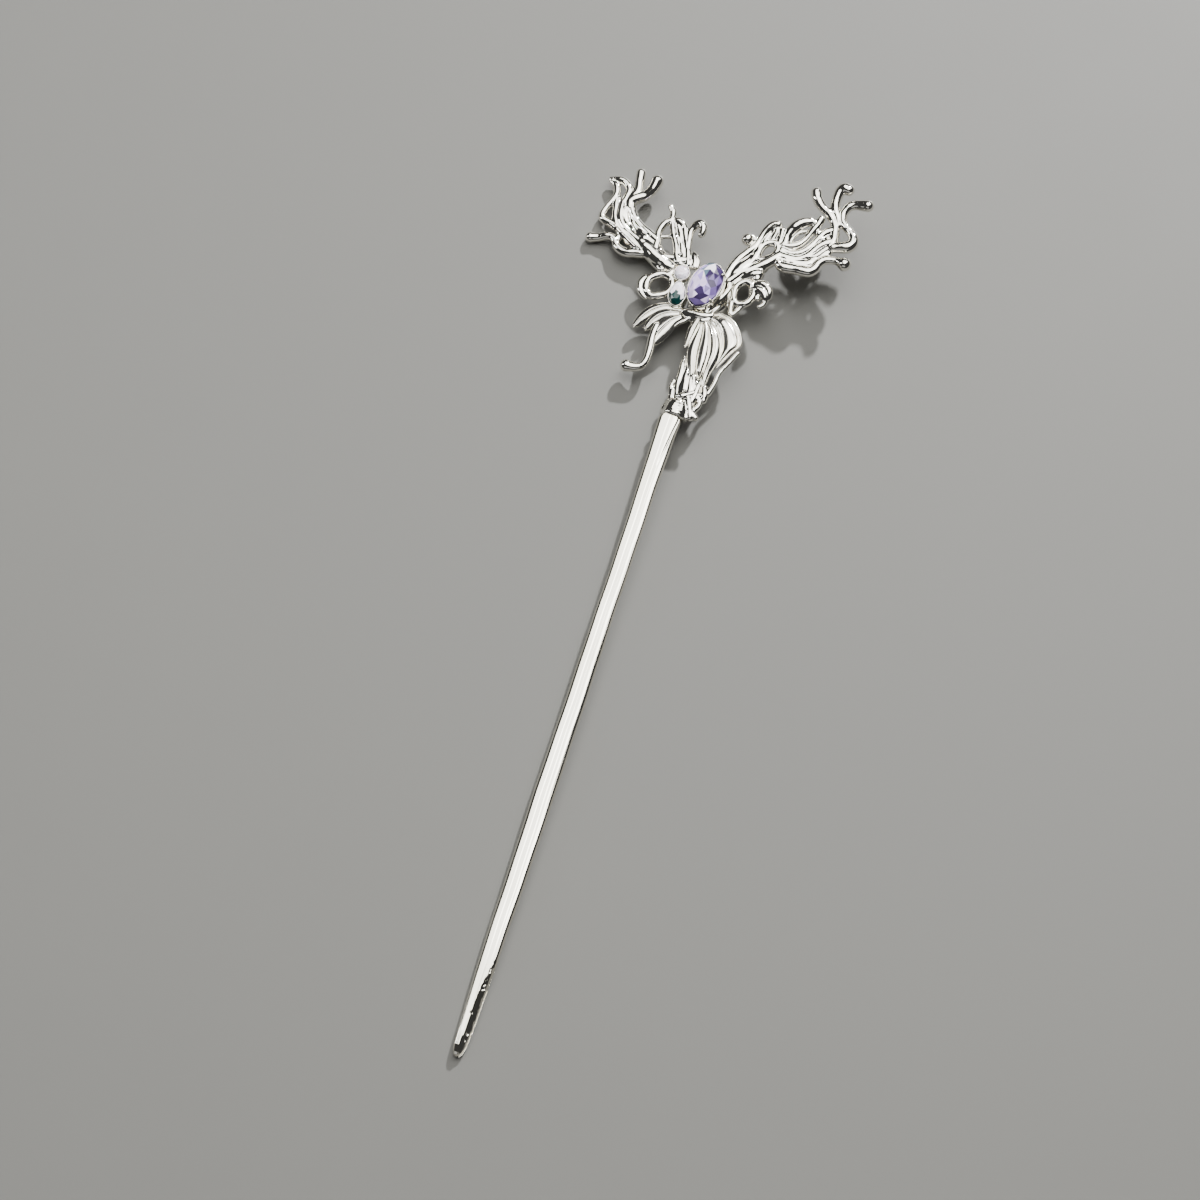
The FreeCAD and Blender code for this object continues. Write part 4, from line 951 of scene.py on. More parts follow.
def collar_rings() -> list[Path]:
    """Round bands of the collar that close over the upper end of the pin.

    Returns:
        Closed strands, side by side.
    """
    rings: list[Path] = []
    for y, wide, tall, radius in COLLAR_BANDS:
        knots = []
        for k in range(COLLAR_CORNERS + 1):
            a = 2.0 * math.pi * (k % COLLAR_CORNERS) / COLLAR_CORNERS
            x = COLLAR_CENTRE[0] + wide * math.cos(a)
            z = COLLAR_CENTRE[1] + tall * math.sin(a)
            knots.append((x, y, radius, z - LAYER.lift(x, y).z))
        rings.append(knots)
    return rings


# Leaves and petals: x, y, half width and, if given, lift above the layer, in mm.
LEAVES_OF_FAN: Sequence[Path] = [
    [(-4.2, -4.8, 0.45), (-6.0, -4.8, 0.75), (-7.8, -5.1, 0.90), (-9.6, -6.2, 0.95, -0.1),
     (-11.0, -7.9, 0.80, -0.2), (-11.8, -9.4, 0.50, -0.3), (-12.0, -10.1, 0.20, -0.3)],
    [(-4.6, -5.6, 0.50, 0.1), (-6.3, -6.1, 0.80, 0.2), (-7.9, -7.0, 0.90, 0.1),
     (-9.0, -8.3, 0.75), (-9.6, -9.6, 0.50, -0.1), (-9.8, -10.3, 0.20, -0.2)],
    [(-4.0, -6.2, 0.50, 0.2), (-5.3, -7.3, 0.90, 0.2), (-6.3, -8.7, 1.20, 0.1),
     (-7.1, -10.2, 1.20), (-7.5, -11.6, 0.95, -0.1), (-7.7, -12.9, 0.45, -0.2)],
]
PETAL_LEFT: Path = [(-0.7, -5.0, 0.45, 0.1), (-1.0, -6.4, 0.75, 0.1), (-1.3, -7.9, 0.90),
                    (-1.4, -9.4, 0.80), (-1.5, -10.9, 0.50), (-1.6, -12.0, 0.20)]
PETAL_LONG: Path = [(0.0, -6.6, 0.40), (0.1, -8.4, 0.80), (0.1, -10.3, 1.10), (0.2, -12.3, 1.20),
                    (0.6, -14.3, 1.10), (1.1, -16.3, 0.80), (1.6, -18.2, 0.40)]
PETAL_CENTRE: Path = [(0.6, -6.2, 0.35, 0.3), (1.3, -7.9, 0.65, 0.4), (1.8, -9.7, 0.90, 0.5),
                      (2.1, -11.6, 1.05, 0.5), (2.3, -13.5, 1.05, 0.4), (2.4, -15.3, 0.80, 0.3),
                      (2.7, -17.2, 0.40, 0.1)]
PETAL_RIGHT: Path = [(0.9, -5.9, 0.35, 0.4), (2.1, -7.1, 0.70, 0.5), (3.1, -8.6, 0.95, 0.6),
                     (3.8, -10.3, 1.10, 0.6), (4.1, -12.1, 1.10, 0.5), (4.0, -13.9, 1.00, 0.4),
                     (3.8, -15.6, 0.80, 0.2), (3.8, -17.2, 0.65, 0.1), (4.0, -18.8, 0.50)]


# ------------------------------------------------------------------------- the pin
@dataclass
class PinShaft:
    """Flat tapering pin with a domed face, a bevelled left edge and a dimpled tip, in mm."""

    stations: Sequence[tuple[float, float]] = (
        (-147.35, 0.30), (-147.1, 0.62), (-146.6, 0.88), (-145.4, 1.16), (-142.0, 1.36),
        (-136.0, 1.50), (-130.0, 1.70), (-118.0, 1.82), (-100.0, 1.95), (-78.0, 1.86),
        (-60.0, 1.76), (-40.0, 1.80), (-30.0, 2.02), (-26.4, 2.12), (-25.9, 2.00), (-25.6, 1.70),
        (-25.4, 0.9), (-22.8, 0.9),
    )
    half_thickness: float = 1.2
    tip_y: float = -147.3
    tip_z: float = 1.055
    neck_y: float = -25.6
    neck_z: float = 4.5
    inset: float = 0.985
    around: int = 84
    along: int = 880
    tip_rows: int = 40
    neck_rows: int = 60
    dimple_count: int = 90
    bevel_start: float = -129.0
    bevel_length: float = 9.0
    seam_start: float = -36.0
    streaks: Sequence[tuple[float, float, float, float, float]] = (
        (-0.42, 0.020, 0.09, 0.050, 0.4), (-0.05, 0.045, 0.07, 0.035, 1.9),
        (0.30, 0.030, 0.06, 0.060, 3.1), (0.62, 0.022, 0.08, 0.045, 5.0),
    )

    def _height(self, s: float) -> float:
        """Domed profile across the pin.

        Args:
            s: -1 at the left edge, 1 at the right edge.

        Returns:
            Share of the half thickness.
        """
        dome = (1.0 - abs(s) ** 9.0) ** 0.5
        bevel = 0.45 * max(0.0, -s - 0.70)
        return dome * (0.93 + 0.07 * (1.0 - s * s)) * (1.0 - bevel)

    def _relief(self, s: float, y: float) -> float:
        """Shallow hand-finished marks on the face.

        Args:
            s: -1 at the left edge, 1 at the right edge.
            y: mm along the pin.

        Returns:
            Height in mm to take away.
        """
        depth = 0.0
        for spot, deep, width, pace, phase in self.streaks:
            line = spot + 0.10 * math.sin(pace * y + phase)
            strength = 0.6 + 0.4 * math.sin(0.5 * pace * y + 2.0 * phase)
            depth += deep * strength * math.exp(-((s - line) / width) ** 2)
        if y > self.seam_start:
            seam = 0.50 + 0.05 * (y + 32.0)
            deep = 0.16 * min(1.0, (y - self.seam_start) / 5.0)
            depth += deep * math.exp(-((s - seam) / 0.07) ** 2)
        if y < self.bevel_start:
            share = self._bevel_share(y)
            depth += 0.75 * share * max(0.0, s - (0.75 - 0.75 * share))
        return depth

    def _bevel_share(self, y: float) -> float:
        """Growth of the tip's bevel, 0 where it starts and 1 where it is full."""
        return min(1.0, (self.bevel_start - y) / self.bevel_length)

    def _dimples(self) -> list[tuple[float, float, float, float]]:
        """Small hammer marks on the tip's bevel.

        Returns:
            Place along and across the pin, size and depth of each.
        """
        rng = np.random.default_rng(11)
        dimples = []
        for _ in range(self.dimple_count):
            y = rng.uniform(-145.5, -130.0)
            dimples.append((y, rng.uniform(0.80 - 0.75 * self._bevel_share(y), 0.95),
                            rng.uniform(0.16, 0.34), rng.uniform(0.04, 0.11)))
        return dimples

    def build(self, material: bpy.types.Material) -> bpy.types.Object:
        """Make the pin.

        Args:
            material: finish.

        Returns:
            The finished piece.
        """
        table = np.array(self.stations)
        tip_zone, neck_zone = -145.0, -26.8
        ys = np.concatenate([
            np.linspace(table[0, 0], tip_zone, self.tip_rows, endpoint=False),
            np.linspace(tip_zone, neck_zone, self.along, endpoint=False),
            np.linspace(neck_zone, table[-1, 0], self.neck_rows),
        ])
        widths = np.interp(ys, table[:, 0], table[:, 1])
        kernel = np.hanning(9)
        kernel /= kernel.sum()
        inner = np.convolve(np.pad(widths, 4, mode="edge"), kernel, mode="valid")
        widths[self.tip_rows:-self.neck_rows] = inner[self.tip_rows:-self.neck_rows]
        dimples = self._dimples()
        verts = []
        slope = (self.neck_z - self.tip_z) / (self.neck_y - self.tip_y)
        for y, half in zip(ys, widths):
            centre_z = self.tip_z + slope * (y - self.tip_y)
            thick = min(self.half_thickness, 0.92 * half)
            wander = 0.08 * math.sin(y * 0.21) + 0.05 * math.sin(y * 0.53 + 1.0)
            edge = 0.10 * math.exp(-((y + 62.0) / 4.0) ** 2) * math.sin(y * 4.3)
            for k in range(self.around):
                a = 2.0 * math.pi * k / self.around
                s = math.cos(a)
                z = math.sin(a)
                rise = self._height(s)
                x = half * s * self.inset
                if s < -0.6:
                    x += edge * (-s - 0.6)
                up = math.copysign(rise, z) * thick
                if z > 0.0:
                    up -= self._relief(s, y)
                    for py, px, size, deep in dimples if y < self.bevel_start + 1.0 else ():
                        gap = math.hypot((y - py) / 1.4, (s - px) * half) / size
                        if gap < 1.0:
                            up -= deep * (1.0 - gap * gap) ** 2
                verts.append((x + wander * 0.4, y, centre_z + up * self.inset))
        faces = ring_skin(len(ys), self.around, rising=False)
        return silver_piece("pin_shaft", verts, faces, material)


# --------------------------------------------------------------------- leaves, petals
@dataclass
class Blade:
    """Crowned leaf or petal with lengthways ribs, in mm."""

    path: Path
    grooves: Sequence[tuple[float, float]]
    groove_width: float = 0.10
    crown: float = 0.65
    edge: float = 0.22
    broaden: float = 1.0
    across: int = 48
    steps: int = 14

    def grid(self) -> tuple[list, list]:
        """Corners and faces of the closed blade.

        Returns:
            Corners in mm and faces.
        """
        rows = np.array([(*LAYER.lift(p[0], p[1], p[3] if len(p) > 3 else 0.0), p[2])
                         for p in self.path])
        curve = flowing(rows, self.steps)
        centre = curve[:, :3]
        half = np.maximum(curve[:, 3], 0.05) * self.broaden
        count = len(centre)
        t = np.linspace(0.0, 1.0, count)
        half = half * np.minimum(1.0, np.sqrt(np.clip((1.0 - t) * 9.0, 0.02, 1.0)))
        ahead = np.gradient(centre, axis=0)
        ahead /= np.linalg.norm(ahead, axis=1)[:, None]
        side = np.cross(ahead, (0.0, 0.0, 1.0))
        side /= np.linalg.norm(side, axis=1)[:, None]
        up = np.cross(side, ahead)
        verts = []
        ring = 2 * self.across
        for i in range(count):
            fade = min(1.0, 4.0 * t[i] + 0.25) * min(1.0, 3.0 * (1.0 - t[i]) + 0.15)
            for k in range(ring):
                a = 2.0 * math.pi * k / ring
                s = math.cos(a)
                top = math.sin(a) >= 0.0
                bulge = (1.0 - s * s) ** 0.5
                crown = self.crown * min(1.0, half[i]) * (1.0 - s * s)
                if top:
                    furrow = fade * bulge * sum(
                        deep * math.exp(-((s - spot - 0.05 * math.sin(5.0 * t[i] + 9.0 * spot))
                                          / self.groove_width) ** 2)
                        for spot, deep in self.grooves)
                    z = self.edge * bulge + crown * 0.75 - furrow
                else:
                    z = -self.edge * bulge + crown * 0.15
                verts.append(centre[i] + side[i] * half[i] * s + up[i] * z)
        return verts, ring_skin(count, ring, rising=False)


@dataclass
class BladeGroup:
    """One or several blades that make one piece."""

    node: str
    blades: Sequence[Blade]

    def build(self, material: bpy.types.Material) -> bpy.types.Object:
        """Make and hand in the piece.

        Args:
            material: finish.

        Returns:
            The finished piece.
        """
        verts: list = []
        faces: list = []
        for blade in self.blades:
            more, skin = blade.grid()
            base = len(verts)
            verts += more
            faces += [tuple(base + c for c in f) for f in skin]
        return silver_piece(self.node, verts, faces, material)


@dataclass
class ShellPetal:
    """Broad fan of the right petal, ribbed along its curved rim, in mm."""

    rim: Sequence[tuple[float, float]] = (
        (0.3, -5.0), (1.5, -4.2), (3.0, -3.7), (4.6, -4.0), (6.1, -4.9), (7.3, -6.2), (8.1, -7.6),
        (8.4, -9.0), (7.8, -10.0), (7.0, -11.2), (6.2, -12.7), (5.4, -14.2),
    )
    inner: Sequence[tuple[float, float]] = (
        (0.3, -5.4), (1.0, -5.8), (1.8, -6.4), (2.6, -7.3), (3.2, -8.3), (3.7, -9.4), (4.0, -10.5),
        (4.2, -11.5), (4.3, -12.3), (4.4, -13.1), (4.4, -13.9), (4.4, -14.8),
    )
    across: int = 72
    steps: int = 12
    scallop: float = 0.30
    cup: float = 0.45
    rolled_rim: float = 0.40
    inner_lip: float = 0.15
    half_thickness: float = 0.14
    crease_width: float = 0.045
    cell: float = 0.075
    creases: Sequence[tuple[float, float]] = ((0.26, 0.18), (0.80, 0.34))

    def _furrow(self, q: float, t: float) -> float:
        """Depth of the creases.

        Args:
            q: 0 at the inner edge, 1 at the rim.
            t: 0 at the root, 1 at the tip.

        Returns:
            Depth in mm.
        """
        wander = 0.05
        return sum(
            deep * math.exp(-((q - spot - wander * math.sin(4.0 * t + 7.0 * spot))
                              / self.crease_width) ** 2)
            for spot, deep in self.creases)

    def build(self, material: bpy.types.Material) -> bpy.types.Object:
        """Make and hand in the petal.

        Args:
            material: finish.

        Returns:
            The finished piece.
        """
        outer = flowing(np.array(self.rim), self.steps)
        inner = flowing(np.array(self.inner), self.steps)
        count = len(outer)
        top = []
        bottom = []
        for i in range(count):
            t = i / (count - 1)
            span = np.linalg.norm(outer[i] - inner[i])
            for k in range(self.across + 1):
                q = k / self.across
                flat = inner[i] + (outer[i] - inner[i]) * q
                scallop = self.scallop * max(0.0, t - 0.90) / 0.10 * math.sin(q * 9.0 + 0.6)
                ahead = outer[min(i + 1, count - 1)] - outer[max(i - 1, 0)]
                ahead = ahead / (np.linalg.norm(ahead) + 1e-9)
                flat = flat + ahead * scallop
                cup = self.cup * span ** 0.5 * math.sin(math.pi * q) * min(1.0, 3.0 * t + 0.2)
                rib = -self._furrow(q, t) * min(1.0, span / 2.0)
                roll = self.rolled_rim * math.exp(-((q - 0.94) / 0.07) ** 2)
                roll *= min(1.0, 5.0 * t + 0.3)
                inside = self.inner_lip * math.exp(-((q - 0.04) / 0.06) ** 2)
                base = LAYER.lift(float(flat[0]), float(flat[1]), -0.10 - 0.5 * max(0.0, t - 0.6))
                rise = self.half_thickness + cup + rib + roll + inside
                top.append((base.x, base.y, base.z + rise))
                bottom.append((base.x, base.y, base.z - self.half_thickness + 0.75 * cup))
        width = self.across + 1
        verts = top + bottom
        shift = len(top)
        faces = []
        for i in range(count - 1):
            for k in range(self.across):
                a = i * width + k
                faces.append((a, a + 1, a + width + 1, a + width))
                faces.append((shift + a, shift + a + width, shift + a + width + 1, shift + a + 1))
        border = ([k for k in range(width)]
                  + [i * width + self.across for i in range(1, count)]
                  + [(count - 1) * width + k for k in range(self.across - 1, -1, -1)]
                  + [i * width for i in range(count - 2, 0, -1)])
        for a, b in zip(border, border[1:] + border[:1]):
            faces.append((b, a, shift + a, shift + b))
        obj = mesh_object("shell_petal_visual", verts, faces)
        obj.data.materials.append(material)
        melt_together(obj, self.cell, 3)
        obj.data.materials.clear()
        obj.data.materials.append(material)
        return hand_in(obj, Slot.SILVER, "shell_petal")


# ---------------------------------------------------------------------------- stones
class Tint(Enum):
    """Colours painted on the stones' facets: the stones' lilac, rose and frost, with lit and shaded
    copies of the lilac, painted highlights and painted reflections.
    """

    LILAC = (0.42, 0.32, 0.72)
    # painted light: lit copy of the lilac
    PALE_LIT = (0.74, 0.62, 0.92)
    # painted highlight
    WHITE = (0.95, 0.93, 0.99)
    # painted shade: shaded copy of the lilac
    PLUM_SHADE = (0.045, 0.030, 0.085)
    # painted shade: darker copy of the lilac
    VIOLET = (0.16, 0.11, 0.30)
    # painted reflection
    SLATE_REFLECTION = (0.12, 0.19, 0.24)
    # painted reflection, dark
    TEAL_REFLECTION = (0.003, 0.032, 0.030)
    ROSE = (0.86, 0.74, 0.78)
    FROST = (0.80, 0.80, 0.84)


# Outlines of the cut, top to bottom: share of the girdle, share of the height, shift in corners.
# The second outline is the table, whose share is the stone's own.
CUT_LEVELS = ((0.24, 0.375, 0.0), (None, 0.355, 0.5), (0.82, 0.24, 0.0), (1.0, 0.07, 0.5),
              (1.0, -0.04, 0.5), (0.62, -0.30, 0.0), (0.22, -0.52, 0.5))


@dataclass
class CutStone:
    """Faceted stone with a split table, crown, girdle and pavilion, in mm."""

    node: str
    centre: tuple[float, float, float]
    radii: tuple[float, float]
    height: float
    turn: float
    lean: float
    slot: Slot
    # tints by angle around the stone, with painted light and shade among them
    colour_and_light_sectors: Sequence[tuple[float, Sequence[Tint]]]
    sides: int = 10
    squeeze: float = 0.0
    table: float = 0.60
    seed: int = 5

    def _level(self, scale: float, z: float, turn: float) -> list[tuple[float, float, float]]:
        """Corners of one outline.

        Args:
            scale: share of the girdle.
            z: height in mm.
            turn: shift in corners.

        Returns:
            The corners.
        """
        out = []
        for k in range(self.sides):
            a = 2.0 * math.pi * (k + turn) / self.sides
            x = math.cos(a) * (1.0 - self.squeeze * max(math.sin(a), 0.0))
            out.append((self.radii[0] * scale * x, self.radii[1] * scale * math.sin(a), z))
        return out

    def _tint(self, x: float, y: float, rng: np.random.Generator) -> Tint:
        """Tint of the facet at one place, which paints light and shade by its angle around the
        stone.

        Args:
            x: facet centre across the stone.
            y: facet centre along the stone.
            rng: source of chance.

        Returns:
            The tint.
        """
        angle = math.degrees(math.atan2(y / self.radii[1], x / self.radii[0])) % 360.0
        for limit, choices in self.colour_and_light_sectors:
            if angle < limit:
                return choices[int(rng.integers(len(choices)))]
        return self.colour_and_light_sectors[0][1][0]

    def build(self, material: bpy.types.Material) -> bpy.types.Object:
        """Cut, place and hand in the stone.

        Args:
            material: finish.

        Returns:
            The finished piece.
        """
        n = self.sides
        verts = [v for share, rise, shift in CUT_LEVELS
                 for v in self._level(share or self.table, rise * self.height, shift)]
        faces: list[tuple[int, ...]] = [(0, 1, 2, 3), tuple(range(3, n)) + (0,)]
        for row, (upper, lower) in enumerate(zip(CUT_LEVELS, CUT_LEVELS[1:])):
            a0 = row * n
            b0 = a0 + n
            for k in range(n):
                m = (k + 1) % n
                if upper[2] == lower[2]:
                    faces.append((a0 + k, b0 + k, b0 + m, a0 + m))
                elif upper[2] < lower[2]:
                    faces.append((a0 + k, b0 + k, a0 + m))
                    faces.append((a0 + m, b0 + k, b0 + m))
                else:
                    faces.append((a0 + k, b0 + k, b0 + m))
                    faces.append((a0 + k, b0 + m, a0 + m))
        last = (len(CUT_LEVELS) - 1) * n
        faces.append(tuple(last + k for k in range(n))[::-1])
        rng = np.random.default_rng(self.seed)
        tints: list[float] = []
        # each facet takes a tint by its angle: the stone's colour with painted highlights, shade
        # and reflections
        for face in faces:
            mid = np.mean([verts[c] for c in face], axis=0)
            tints += [*self._tint(float(mid[0]), float(mid[1]), rng).value, 1.0]
        place = stone_place(self)
        obj = mesh_object(self.node + "_visual", [place @ Vector(v) for v in verts], faces, False)
        # face colours with painted light and shade, read by the stone material
        obj.data.attributes.new("tint", "FLOAT_COLOR", "FACE").data.foreach_set("color", tints)
        obj.data.materials.append(material)
        return hand_in(obj, self.slot, self.node)


def stone_place(stone: CutStone) -> Matrix:
    """Place of a stone in the head.

    Args:
        stone: the stone.

    Returns:
        Its transform, in mm.
    """
    return (Matrix.Translation(Vector(stone.centre))
            @ Matrix.Rotation(math.radians(stone.lean), 4, "Y")
            @ Matrix.Rotation(math.radians(stone.turn), 4, "Z"))


# Claw from root to tip: height, lean over the stone and radius, in mm.
CLAW_SPINE = ((-1.6, 0.0, 0.30), (-0.5, 0.0, 0.32), (0.15, 0.05, 0.33), (0.45, 0.20, 0.30),
              (0.58, 0.40, 0.20), (0.60, 0.50, 0.08))


@dataclass
class StoneSeat:
    """Rounded metal collar and claws around one stone, in mm."""

    node: str
    stone: CutStone
    wall: float = 0.26
    depth: float = 2.2
    claws: Sequence[float] = ()
    claw_gap: float = 0.16
    claw_corners: int = 14
    around: int = 96

    def build(self, material: bpy.types.Material) -> bpy.types.Object:
        """Make and hand in the seat.

        Args:
            material: finish.

        Returns:
            The finished piece.
        """
        rx, ry = self.stone.radii
        profile = [(-0.50 * rx, -self.depth + 0.3), (-0.02, -0.30), (0.0, -0.04), (0.05, 0.12),
                   (0.12, 0.16), (0.20, 0.08), (self.wall, -0.12), (0.28, -0.70),
                   (0.12, -self.depth)]
        place = stone_place(self.stone)
        verts = []
        for k in range(self.around):
            a = 2.0 * math.pi * k / self.around
            wave = 1.0 + 0.06 * math.sin(5.0 * a + 0.7)
            for grow, z in profile:
                x = math.cos(a) * (1.0 - self.stone.squeeze * max(math.sin(a), 0.0))
                reach = grow * wave if grow > 0.05 else grow
                verts.append(place @ Vector(((rx + reach) * x, (ry + reach) * math.sin(a), z)))
        n = len(profile)
        faces = []
        for k in range(self.around):
            m = (k + 1) % self.around
            for j in range(n - 1):
                faces.append((k * n + j, k * n + j + 1, m * n + j + 1, m * n + j))
            faces.append((k * n + n - 1, k * n, m * n, m * n + n - 1))
        for angle in self.claws:
            corners = self._claw(math.radians(angle))
            faces += ring_skin(len(CLAW_SPINE), self.claw_corners, len(verts))
            verts += [place @ corner for corner in corners]
        return silver_piece(self.node, verts, faces, material)

    def _claw(self, angle: float) -> list[Vector]:
        """Corners of one claw, ring by ring.

        Args:
            angle: place around the stone in radians.

        Returns:
            The corners in mm, about the stone's centre.
        """
        rx, ry = self.stone.radii
        out = Vector((math.cos(angle), math.sin(angle), 0.0))
        edge = Vector(((rx + self.claw_gap) * out.x, (ry + self.claw_gap) * out.y, 0.0))
        spine = [(edge + Vector((0, 0, z)) - out * lean, r) for z, lean, r in CLAW_SPINE]
        corners = []
        for i, (spot, radius) in enumerate(spine):
            ahead = spine[min(i + 1, len(spine) - 1)][0] - spine[max(i - 1, 0)][0]
            ahead.normalize()
            u = ahead.cross(Vector((-out.y, out.x, 0.0))).normalized()
            w = ahead.cross(u)
            for k in range(self.claw_corners):
                t = 2.0 * math.pi * k / self.claw_corners
                corners.append(spot + (u * math.cos(t) + w * math.sin(t)) * radius)
        return corners


# Sectors by angle paint the facets: lit lilac and painted highlights on one side of the violet
# stone, painted shade and painted reflections on its other sides, and a dark painted reflection on
# the drop stone.
OVAL_STONE = CutStone(
    "violet_oval_stone", centre=(-1.5, 0.4, 6.9), radii=(3.1, 4.5), height=3.6,
    turn=-8.0, lean=-16.0, slot=Slot.VIOLET,
    colour_and_light_sectors=(
        (60.0, (Tint.PLUM_SHADE, Tint.PLUM_SHADE, Tint.VIOLET)),
        (95.0, (Tint.WHITE, Tint.PLUM_SHADE)),
        (140.0, (Tint.SLATE_REFLECTION, Tint.LILAC, Tint.WHITE)),
        (235.0, (Tint.LILAC, Tint.PALE_LIT, Tint.PALE_LIT)),
        (290.0, (Tint.PLUM_SHADE, Tint.PALE_LIT, Tint.PLUM_SHADE, Tint.VIOLET)),
        (361.0, (Tint.LILAC, Tint.PALE_LIT, Tint.PLUM_SHADE, Tint.VIOLET)),
    ))
DROP_STONE = CutStone(
    "clear_drop_stone", centre=(-6.1, -2.3, 5.6), radii=(1.55, 2.45), height=2.2,
    turn=8.0, lean=-10.0, slot=Slot.CLEAR,
    colour_and_light_sectors=(
        (200.0, (Tint.FROST, Tint.ROSE, Tint.WHITE)),
        (322.0, (Tint.TEAL_REFLECTION,)),
        (361.0, (Tint.ROSE, Tint.FROST, Tint.WHITE)),
    ),
    sides=8, squeeze=0.35, seed=9)
ROUND_STONE = CutStone(
    "clear_round_stone", centre=(-6.5, 1.9, 5.8), radii=(1.35, 1.35), height=1.7,
    turn=0.0, lean=-10.0, slot=Slot.CLEAR,
    colour_and_light_sectors=((361.0, (Tint.WHITE, Tint.ROSE, Tint.FROST, Tint.WHITE)),),
    sides=8, table=0.55, seed=2)


@dataclass
class BackPlate:
    """Flat-backed pad under the stones, in mm."""

    radii: tuple[float, float] = (4.4, 3.8)
    levels: Sequence[tuple[float, float]] = (
        (0.0, 0.0), (0.02, 0.0), (0.12, 0.10), (0.5, 1.2), (1.0, 2.4), (1.6, 3.6),
    )
    around: int = 80

    def build(self, material: bpy.types.Material) -> bpy.types.Object:
        """Make and hand in the pad.

        Args:
            material: finish.

        Returns:
            The finished piece.
        """
        verts = []
        for inset, z in self.levels:
            for k in range(self.around):
                a = 2.0 * math.pi * k / self.around
                verts.append(((self.radii[0] - inset) * math.cos(a),
                              (self.radii[1] - 0.7 * inset) * math.sin(a), z))
        return silver_piece("back_plate", verts, ring_skin(len(self.levels), self.around), material)


BLADES: Sequence[BladeGroup] = (
    BladeGroup("leaf_fan", [Blade(path, ((0.1, 0.20),), crown=0.40, broaden=1.35)
                            for path in LEAVES_OF_FAN]),
    BladeGroup("petal_left", [Blade(PETAL_LEFT, ((-0.1, 0.20),), crown=0.60)]),
    BladeGroup("petal_long", [Blade(PETAL_LONG, ((-0.20, 0.30),))]),
    BladeGroup("petal_centre", [Blade(PETAL_CENTRE, ())]),
    BladeGroup("petal_right", [Blade(PETAL_RIGHT, ((0.25, 0.26),))]),
)


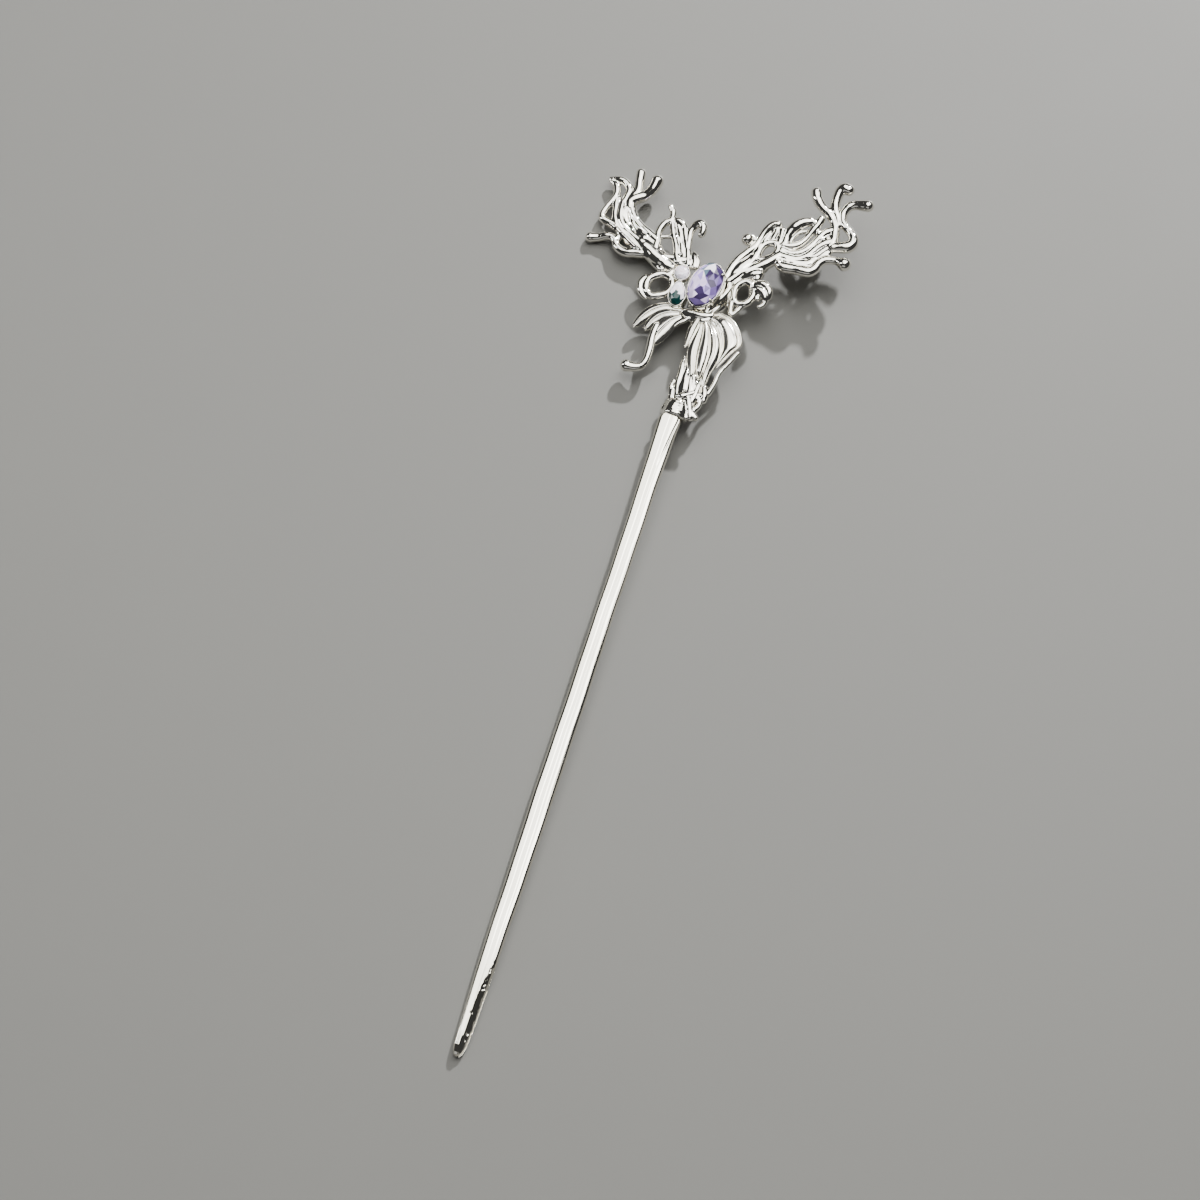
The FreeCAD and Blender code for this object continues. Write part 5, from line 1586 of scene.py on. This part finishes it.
# ----------------------------------------------------------------------------- studio
@dataclass
class Studio:
    """Pale floor, soft lights and the camera."""

    floor_size: float = 3.0
    floor_dark: tuple[float, float, float] = (0.128, 0.127, 0.119)
    floor_pale: tuple[float, float, float] = (0.140, 0.139, 0.130)
    room_glow: tuple[float, float, float] = (0.045, 0.045, 0.046)
    azimuth: float = 17.89
    elevation: float = 72.0
    distance: float = 0.5
    target: tuple[float, float, float] = (-0.00193, -0.06156, 0.0)
    lens: float = 83.3

    def floor(self) -> None:
        """Lay the floor."""
        half = self.floor_size / 2 / MM
        obj = mesh_object("floor", [(-half, -half, 0), (half, -half, 0), (half, half, 0),
                                    (-half, half, 0)], [(0, 1, 2, 3)])
        bench = ShaderBench("floor")
        grain = bench.noise(35.0, 4.0)
        shader = bench.make("ShaderNodeBsdfPrincipled", "BSDF", None,
                            Base_Color=bench.blend(grain, self.floor_dark, self.floor_pale),
                            Roughness=0.55 + grain * 0.1)
        obj.data.materials.append(bench.finish(shader))

    def _light(self, name: str, azimuth: float, elevation: float, reach: float, size: tuple,
               power: float, colour: tuple = (1.0, 1.0, 1.0)) -> None:
        """Hang one soft panel that faces the pin.

        Args:
            name: object name.
            azimuth: degrees from +Y towards +X.
            elevation: degrees above the floor.
            reach: metres from the pin.
            size: width and height in metres.
            power: watts.
            colour: light colour.
        """
        data = bpy.data.lights.new(name, "AREA")
        data.shape = "ELLIPSE"
        data.size, data.size_y = size
        data.energy = power
        data.color = colour
        obj = bpy.data.objects.new(name, data)
        a = math.radians(azimuth)
        e = math.radians(elevation)
        aim = Vector((0.0, -0.04, 0.0))
        away = Vector((math.sin(a) * math.cos(e), math.cos(a) * math.cos(e), math.sin(e)))
        obj.location = aim + away * reach
        obj.rotation_euler = (-away).to_track_quat("-Z", "Y").to_euler()
        bpy.context.scene.collection.objects.link(obj)

    def lights(self) -> None:
        """Hang the lights and dim the room."""
        warm = (1.0, 0.995, 0.955)
        self._light("overhead", -24.0, 70.0, 1.2, (0.90, 1.45), 15.0, warm)
        self._light("overhead_side", 34.0, 60.0, 1.25, (0.55, 1.2), 7.0, warm)
        self._light("key", 8.0, 32.0, 1.3, (0.06, 0.06), 38.0)
        self._light("left_strip", -95.0, 30.0, 1.1, (0.12, 0.7), 2.5)
        self._light("near_side", 180.0, 34.0, 1.6, (1.6, 0.7), 1.3)
        world = bpy.data.worlds.new("room")
        world.use_nodes = True
        background = world.node_tree.nodes["Background"]
        background.inputs["Color"].default_value = (*self.room_glow, 1.0)
        background.inputs["Strength"].default_value = 1.0
        bpy.context.scene.world = world

    def camera(self) -> None:
        """Set the camera."""
        a = math.radians(self.azimuth)
        e = math.radians(self.elevation)
        back = Vector((math.sin(a) * math.cos(e), -math.cos(a) * math.cos(e), math.sin(e)))
        data = bpy.data.cameras.new("camera")
        data.lens = self.lens
        data.sensor_width = 36.0
        data.clip_start = 0.01
        obj = bpy.data.objects.new("camera", data)
        obj.location = Vector(self.target) + back * self.distance
        obj.rotation_euler = (-back).to_track_quat("-Z", "Y").to_euler()
        bpy.context.scene.collection.objects.link(obj)
        bpy.context.scene.camera = obj


def main() -> None:
    """Build and dress every piece."""
    logging.basicConfig(level=logging.INFO, format="%(message)s")
    silver = SilverPlate().material()
    tree = StrandTree(silver)
    for seed, (node, strands) in enumerate(CASTINGS.items(), start=1):
        extra = collar_rings() if node == "neck_collar" else []
        Casting(node, [*strands, *FILLS.get(node, []), *extra], float(seed),
                SWELLS.get(node, USUAL_SWELL)).build(tree, silver)
    PinShaft().build(PinPlate().material())
    petal = SilverPlate("petal_plate", roughness=0.13, ripple_per_m=600.0,
                        ripple_strength=0.20).material()
    for group in BLADES:
        group.build(petal)
    ShellPetal().build(petal)
    violet = CutGlass("violet_glass").material()
    # painted glow of the clear stones
    clear = CutGlass("clear_glass", painted_glow=0.20)
    OVAL_STONE.build(violet)
    DROP_STONE.build(clear.material())
    ROUND_STONE.build(clear.material())
    StoneSeat("oval_setting", OVAL_STONE, claws=(38.0, 142.0, 218.0, 322.0)).build(silver)
    StoneSeat("drop_setting", DROP_STONE).build(silver)
    StoneSeat("round_setting", ROUND_STONE).build(silver)
    BackPlate().build(silver)
    studio = Studio()
    studio.floor()
    studio.lights()
    studio.camera()


if __name__ == "__main__":
    main()
